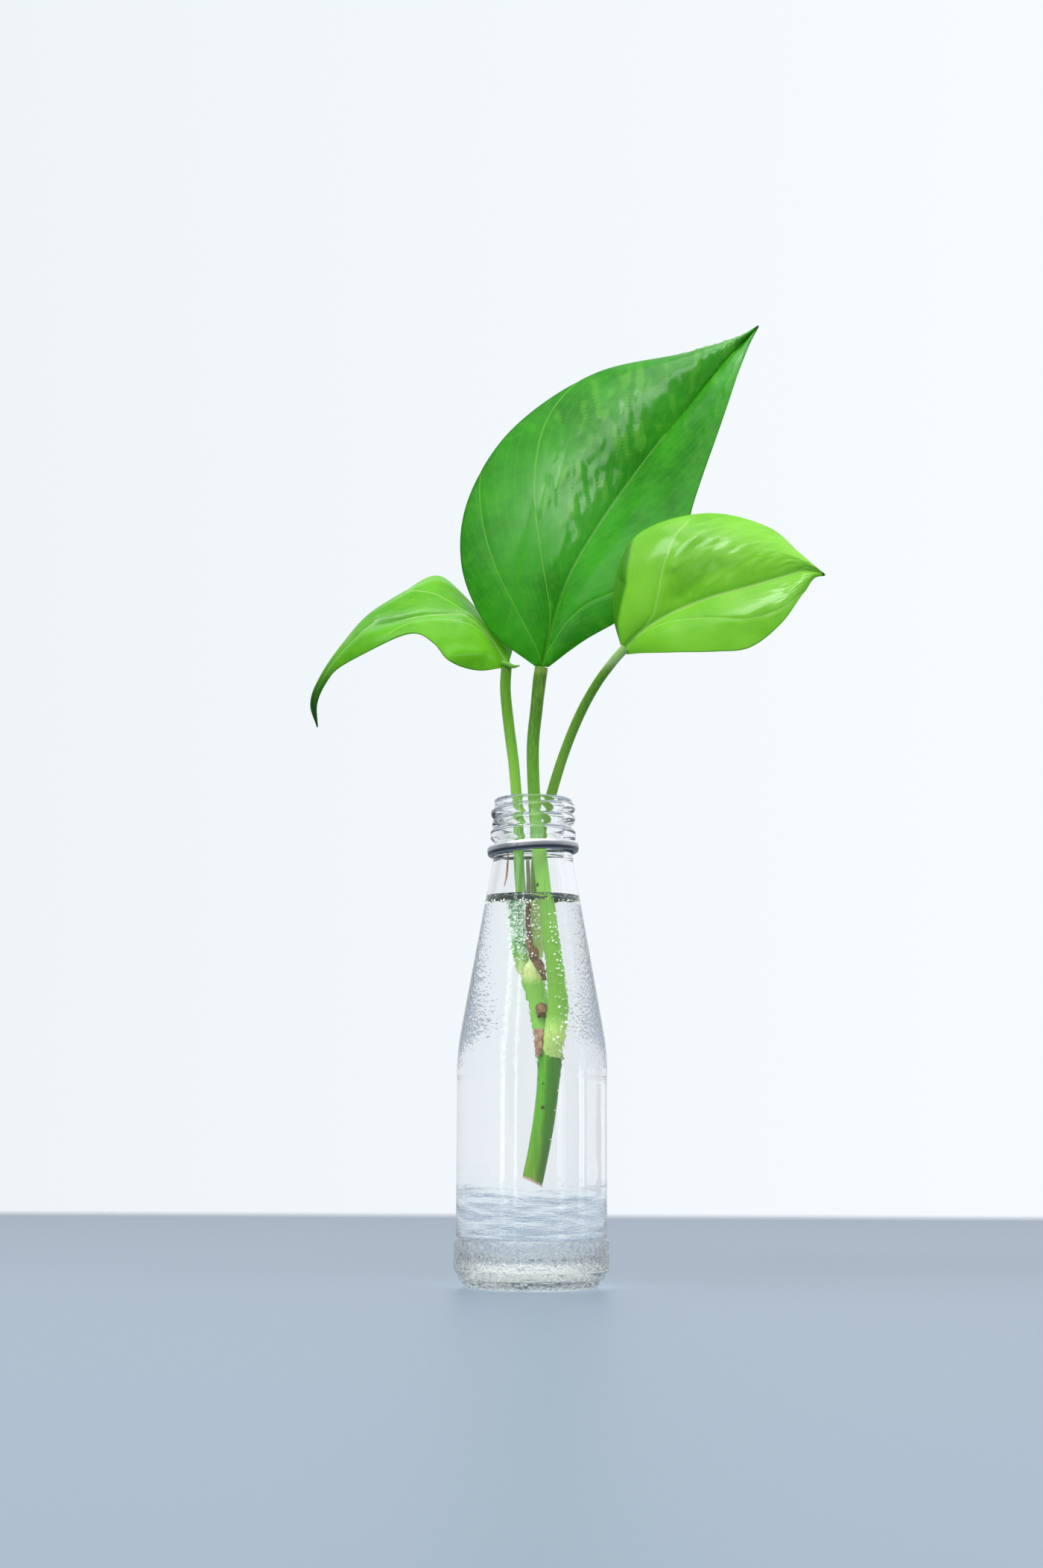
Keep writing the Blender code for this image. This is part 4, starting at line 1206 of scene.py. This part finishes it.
def make_blade(name, blade, material, slot, node):
    """A thin leaf blade with veins and quilting raised from its surface."""
    shape = bmesh.new()
    bmesh.ops.create_grid(shape, x_segments=BLADE_ROWS, y_segments=BLADE_COLUMNS, size=0.5)
    chart = shape.loops.layers.uv.new("blade")
    for face in shape.faces:
        for loop in face.loops:
            loop[chart].uv = (loop.vert.co.x + 0.5, loop.vert.co.y + 0.5)
    floats = shape.verts.layers.float
    rib_layer, ridge_highlight_layer, lobe_layer, shine_layer = map(floats.new, ("rib", "ridge", "lobe", "shine"))
    layers = [floats.new(f"vein_{n}") for n in range(len(blade["veins"]))]
    length = sum((Vector(b) - Vector(a)).length for a, b in zip(blade["mid"], blade["mid"][1:]))
    lifts = []
    for vertex in shape.verts:
        u = clamped(vertex.co.x + 0.5)
        v = clamped(2 * vertex.co.y, -1.0)
        vertex.co = blade_point(blade, u, v)
        edge = blade_point(blade, u, -1.0 if v < 0 else 1.0)
        half_width = max(0.5, (edge - curve_at(blade["mid"], u)).length)
        vertex[rib_layer] = v * half_width / (1.15 - 0.6 * u)
        inward = vein_offset(blade["veins"][0], u, v, half_width, length)
        quilt = quilting(blade, u, v, vertex.co, inward)
        # The quilting's crests, kept for their painted highlight
        vertex[ridge_highlight_layer] = max(0.0, quilt)
        vertex[shine_layer] = min(1.0, stroke_height(blade["shine"], u, v, half_width, length))
        relief = blade["quilt"] * quilt + stroke_height(blade["strokes"], u, v, half_width, length)
        relief -= 0.35 * (1 - u) * math.exp(-((v * half_width / 0.8) ** 2))
        if blade["lobe"]:
            folded = -vein_offset(blade["lobe"], u, v, half_width, length)
            vertex[lobe_layer] = folded
            relief -= 2.2 * smooth_step(folded, 0.0, 7.0)
        for layer, route in zip(layers, blade["veins"]):
            off = vein_offset(route, u, v, half_width, length)
            vertex[layer] = off
            relief -= 0.14 * math.exp(-((off / 0.7) ** 2))
        lifts.append(relief)
    shape.normal_update()
    facing = Vector(blade["face"])
    for vertex, lift in zip(shape.verts, lifts):
        way = vertex.normal if vertex.normal.dot(facing) > 0 else -vertex.normal
        vertex.co += way * lift
    bmesh.ops.remove_doubles(shape, verts=shape.verts, dist=0.002)
    return thickened(finished(name, shape, material, slot, node, crisp=75), BLADE_THICKNESS)


def bead_cloud(name, places, material, slot):
    """Many small beads in one piece; places are (centre, radius)."""
    shape = bmesh.new()
    for centre, radius in places:
        turn = Matrix.Translation(centre)
        bmesh.ops.create_icosphere(shape, subdivisions=2, radius=radius, matrix=turn)
    return finished(name, shape, material, slot)


def stalk_beads(route, heights, step, angles, radius, draw, kept):
    """Rows of beads on a stalk's surface; angles are the columns, and kept is the share that is there."""
    places = []
    low, high = heights
    rows = round((high - low) / step)
    for row in range(rows):
        z = low + step * (row + draw.uniform(-0.25, 0.25))
        here = at_height(route, z)
        for angle in angles:
            if draw.random() > kept:
                continue
            turn = angle + draw.uniform(-0.12, 0.12) + 0.5 * (row % 2) * (angles[1] - angles[0])
            size = radius * draw.uniform(0.65, 1.15)
            out = here[3] + 0.45 * size
            rise = Vector((0.0, 0.0, draw.uniform(-0.3, 0.3) * step))
            aside = Vector((math.cos(turn), math.sin(turn), 0.0)) * out
            places.append((Vector(here[:3]) + aside + rise, size))
    return places


def at_height(route, z):
    """The point and radius of a stalk at a height."""
    low, high = 0.0, 1.0
    for _ in range(24):
        middle = (low + high) / 2
        if curve_at(route, middle)[2] < z:
            low = middle
        else:
            high = middle
    return curve_at(route, low)


def make_bubbles(clear, white):
    """Clear bubbles on the left stalk, and small white ones on all the stalks, whose white and glow are a
    painted highlight.
    """
    draw = random.Random(7)
    front = -math.pi / 2
    around = [front + 0.42 * step for step in range(-5, 5)]
    right_side = [front + 0.1, front + 0.5, front + 0.9, front + 1.3]
    clear_rows = [
        (PETIOLE_LEFT, (108.0, 121.4), 1.15, around, 0.55, 0.9),
        (PETIOLE_LEFT, (103.0, 110.0), 0.85, around, 0.34, 0.55),
    ]
    glint_rows = [
        (PETIOLE_TALL, (73.0, 119.0), 1.75, right_side, 0.25, 0.62),
        (PETIOLE_TALL, (80.0, 110.0), 3.4, [front - 0.9, front - 0.4], 0.18, 0.4),
        (PETIOLE_RIGHT, (108.0, 121.0), 1.1, [front - 0.7, front - 0.2], 0.3, 0.8),
        (PETIOLE_LEFT, (100.0, 121.0), 0.9, [front - 1.6, front - 1.3], 0.26, 0.7),
        (STEM, (40.0, 66.0), 5.0, [front + 0.9, front + 1.2], 0.2, 0.5),
        (PETIOLE_LEFT, (100.0, 121.4), 1.25, around, 0.27, 0.45),
        (SHEATH_UPPER, (97.0, 121.0), 1.35, [front - 0.5, front + 0.4], 0.25, 0.6),
    ]
    for name, rows, material in (("clear_bubbles", clear_rows, clear), ("glinting_bubbles", glint_rows, white)):
        places = []
        for route, heights, step, angles, radius, kept in rows:
            places += stalk_beads(route, heights, step, angles, radius, draw, kept)
        bead_cloud(name, places, material, "water")


def make_surface_beads(material):
    """Droplets and bubbles that cling to the glass at the water line, painted white with a faint glow as
    painted highlights.
    """
    draw = random.Random(11)
    places = []
    edge_r = cone_outer_r(WATER_TOP_Z) - WALL
    for _ in range(90):
        angle = draw.uniform(0, 2 * math.pi)
        size = draw.uniform(0.14, 0.3)
        r = edge_r - size - draw.uniform(0.2, 1.0)
        z = WATER_TOP_Z - size - draw.uniform(0.7, 1.6)
        places.append((Vector((r * math.cos(angle), r * math.sin(angle), z)), size))
    return bead_cloud("surface_bubbles", places, material, "water")


def make_specks(material):
    """Fine dark specks that float on the water in ragged drifts and make a dark ragged band along the water
    line.
    """
    draw = random.Random(5)
    shape = bmesh.new()
    edge_r = cone_outer_r(WATER_TOP_Z) - WALL - 0.4
    for _ in range(900):
        angle = draw.uniform(0, 2 * math.pi)
        r = edge_r * math.sqrt(draw.uniform(0.12, 1.0))
        drift = noise.noise(Vector((3 * math.cos(angle), 3 * math.sin(angle), r / 3.0)))
        size = draw.uniform(0.18, 0.5) * (1.0 + 0.8 * drift)
        hang = draw.uniform(0.2, 1.1 + 0.6 * drift)
        spot = Vector((r * math.cos(angle), r * math.sin(angle), WATER_TOP_Z - hang))
        if near_stalk(spot):
            continue
        flat = Matrix.Diagonal((1.0, 1.0, 0.7, 1.0))
        turn = Matrix.Rotation(draw.uniform(0, 3.1), 4, "Z")
        stand = Matrix.Translation(spot) @ turn @ flat
        bmesh.ops.create_icosphere(shape, subdivisions=1, radius=size, matrix=stand)
    return finished("floating_specks", shape, material, "dry_brown")


def near_stalk(spot):
    """Whether a place on the water's surface is inside one of the stalks."""
    for route in (PETIOLE_TALL, PETIOLE_LEFT, PETIOLE_RIGHT):
        below = max(i for i in range(len(route) - 1) if route[i][2] <= spot.z)
        share = (spot.z - route[below][2]) / (route[below + 1][2] - route[below][2])
        here = Vector(route[below]).lerp(Vector(route[below + 1]), share)
        if math.hypot(spot.x - here[0], spot.y - here[1]) < here[3] + 0.5:
            return True
    return False


def make_spur(material):
    """The small hooked flap where the left leaf meets its stalk."""
    return finished("leaf_left_spur", rod(SPUR, 24, sides=14), material, "light_leaf")


def make_fibre(material):
    """A dry fibre of the sheath that clings to the inside of the neck."""
    return finished("sheath_fibre_dry", rod(FIBRE, 24, sides=10), material, "dry_brown")


def make_floor(material):
    shape = bmesh.new()
    bmesh.ops.create_grid(shape, x_segments=4, y_segments=4, size=1.0)
    bmesh.ops.scale(shape, vec=(1.6, 1.2, 1.0), verts=shape.verts)
    bmesh.ops.translate(shape, vec=(0.0, -0.42, -0.0002), verts=shape.verts)
    floor = linked("floor", mesh_of("floor", shape, material))


def make_camera():
    camera = linked("camera", bpy.data.cameras.new("camera"))
    camera.data.lens = LENS
    camera.data.sensor_width = SENSOR
    camera.data.clip_start = 0.01
    tilt = Matrix.Rotation(math.radians(90.0 + CAMERA_UP_DEG), 4, "X")
    roll = Matrix.Rotation(CAMERA_ROLL, 4, "Z")
    stand = Matrix.Translation(AXIS + Vector((CAMERA_X, CAMERA_Y, CAMERA_Z)) * MM)
    camera.matrix_world = stand @ tilt @ roll
    bpy.context.scene.camera = camera


def softbox(name, azimuth, elevation, distance, width, tall, glow, tint=(1.0, 1.0, 1.0)):
    """An area light, with its angles in degrees: round to the viewer's right, and up.

    It shines at the object from a distance in metres, and glow is its brightness, whatever its size.
    """
    data = bpy.data.lights.new(name, "AREA")
    data.shape = "RECTANGLE"
    data.size = width
    data.size_y = tall
    data.energy = glow * math.pi * width * tall
    data.color = tint
    lamp = linked(name, data)
    turn = math.radians(azimuth)
    rise = math.radians(elevation)
    aim = AXIS + Vector((0.0, 0.0, 0.2))
    out = Vector((math.sin(turn) * math.cos(rise), -math.cos(turn) * math.cos(rise), math.sin(rise)))
    facing = out.to_track_quat("Z", "Y").to_matrix().to_4x4()
    lamp.matrix_world = Matrix.Translation(aim + out * distance) @ facing


def make_light():
    softbox("window_left", -47.0, 5.0, 1.5, 0.13, 1.8, 2.3, COOL_WHITE)
    softbox("window_left_far", -26.0, 5.0, 1.7, 0.12, 1.8, 1.7, COOL_WHITE)
    softbox("window_right", 84.0, 5.0, 1.5, 0.08, 1.8, 1.6, COOL_WHITE)
    softbox("front_high", -4.0, 46.0, 1.5, 0.62, 0.42, 4.6)
    softbox("left_high", -50.0, 48.0, 1.5, 0.70, 0.50, 6.5)
    softbox("right_spot", 56.0, 36.0, 1.5, 0.26, 0.26, 7.0)
    softbox("overhead", 0.0, 76.0, 1.35, 1.3, 1.0, 2.5)


def make_world():
    """A pale studio: bright behind the object, dimmer behind the camera, low down and far to the sides."""
    world = bpy.data.worlds.new("studio")
    world.use_nodes = True
    bpy.context.scene.world = world
    studio = Nodes(world.node_tree)
    sheet = studio.tree.nodes["Background"]
    way = studio.node("ShaderNodeTexCoord")
    sideways = studio.part(way, "X")
    depth = studio.part(way, "Y") * 0.5 + 0.5
    tone = studio.node("ShaderNodeValToRGB", {"stops": STUDIO_TONES}, {0: depth})
    low = {"Value": studio.part(way, "Z"), "From Min": -0.14, "From Max": -0.10, "To Min": 0.10}
    above_table = studio.node("ShaderNodeMapRange", {"interpolation_type": "SMOOTHSTEP"}, low)
    far = {"Value": abs(sideways), "From Min": 0.27, "From Max": 0.5, "To Min": 1.0, "To Max": 0.90}
    wings = studio.node("ShaderNodeMapRange", inputs=far)
    studio.feed(sheet.inputs["Color"], tone)
    studio.feed(sheet.inputs["Strength"], above_table * (sideways * 0.16 + wings))
    bpy.context.scene.view_settings.view_transform = "Standard"


def main():
    make_camera()
    make_world()
    make_light()
    make_floor(floor_finish())

    make_bottle(clear_glass())
    make_water(water_finish())
    make_ring(grey_metal())

    make_stem(stalk_finish("stem_green", STEM_TONES, STEM_SPOTS, painted_shade_from=1.5, cut=True))
    petioles = [
        ("tall", PETIOLE_TALL, TALL_TONES, TALL_STALK_SPOTS),
        ("left", PETIOLE_LEFT, LEFT_TONES, LEFT_STALK_SPOTS),
        ("right", PETIOLE_RIGHT, RIGHT_TONES, ()),
    ]
    for side, route, tones, spots in petioles:
        finish = stalk_finish(f"stalk_{side}", tones, spots)
        make_stalk(f"petiole_{side}_stalk", route, finish, f"petiole_{side}")

    deep = leaf_finish("deep_leaf", TALL_BLADE, DEEP_GREENS, TALL_LEAF_SPOTS)
    make_blade("leaf_tall_blade", TALL_BLADE, deep, "deep_leaf", "leaf_tall")
    fresh = leaf_finish("light_leaf", RIGHT_BLADE, FRESH_GREENS)
    make_blade("leaf_right_blade", RIGHT_BLADE, fresh, "light_leaf", "leaf_right")
    young = leaf_finish("light_leaf_left", LEFT_BLADE, YOUNG_GREENS)
    make_blade("leaf_left_blade", LEFT_BLADE, young, "light_leaf", "leaf_left")
    make_spur(young)

    upper = dry_finish("dry_brown", DEAD_BROWN, (0.34, 0.19, 0.08), olive_above=117.0)
    make_sheath("sheath_upper_dry", SHEATH_UPPER, upper, "dry_sheath_upper")
    lower = dry_finish("dry_brown_pink", (0.22, 0.11, 0.06), (0.62, 0.40, 0.27))
    make_sheath("sheath_lower_dry", SHEATH_LOWER, lower, "dry_sheath_lower")
    make_fibre(lower)
    make_stub(dry_finish("dry_brown_root", DEAD_BROWN, (0.36, 0.22, 0.09)))
    white = glinting_bead()
    make_bubbles(air_bubble(), white)
    make_surface_beads(white)
    make_specks(speck_finish())


main()
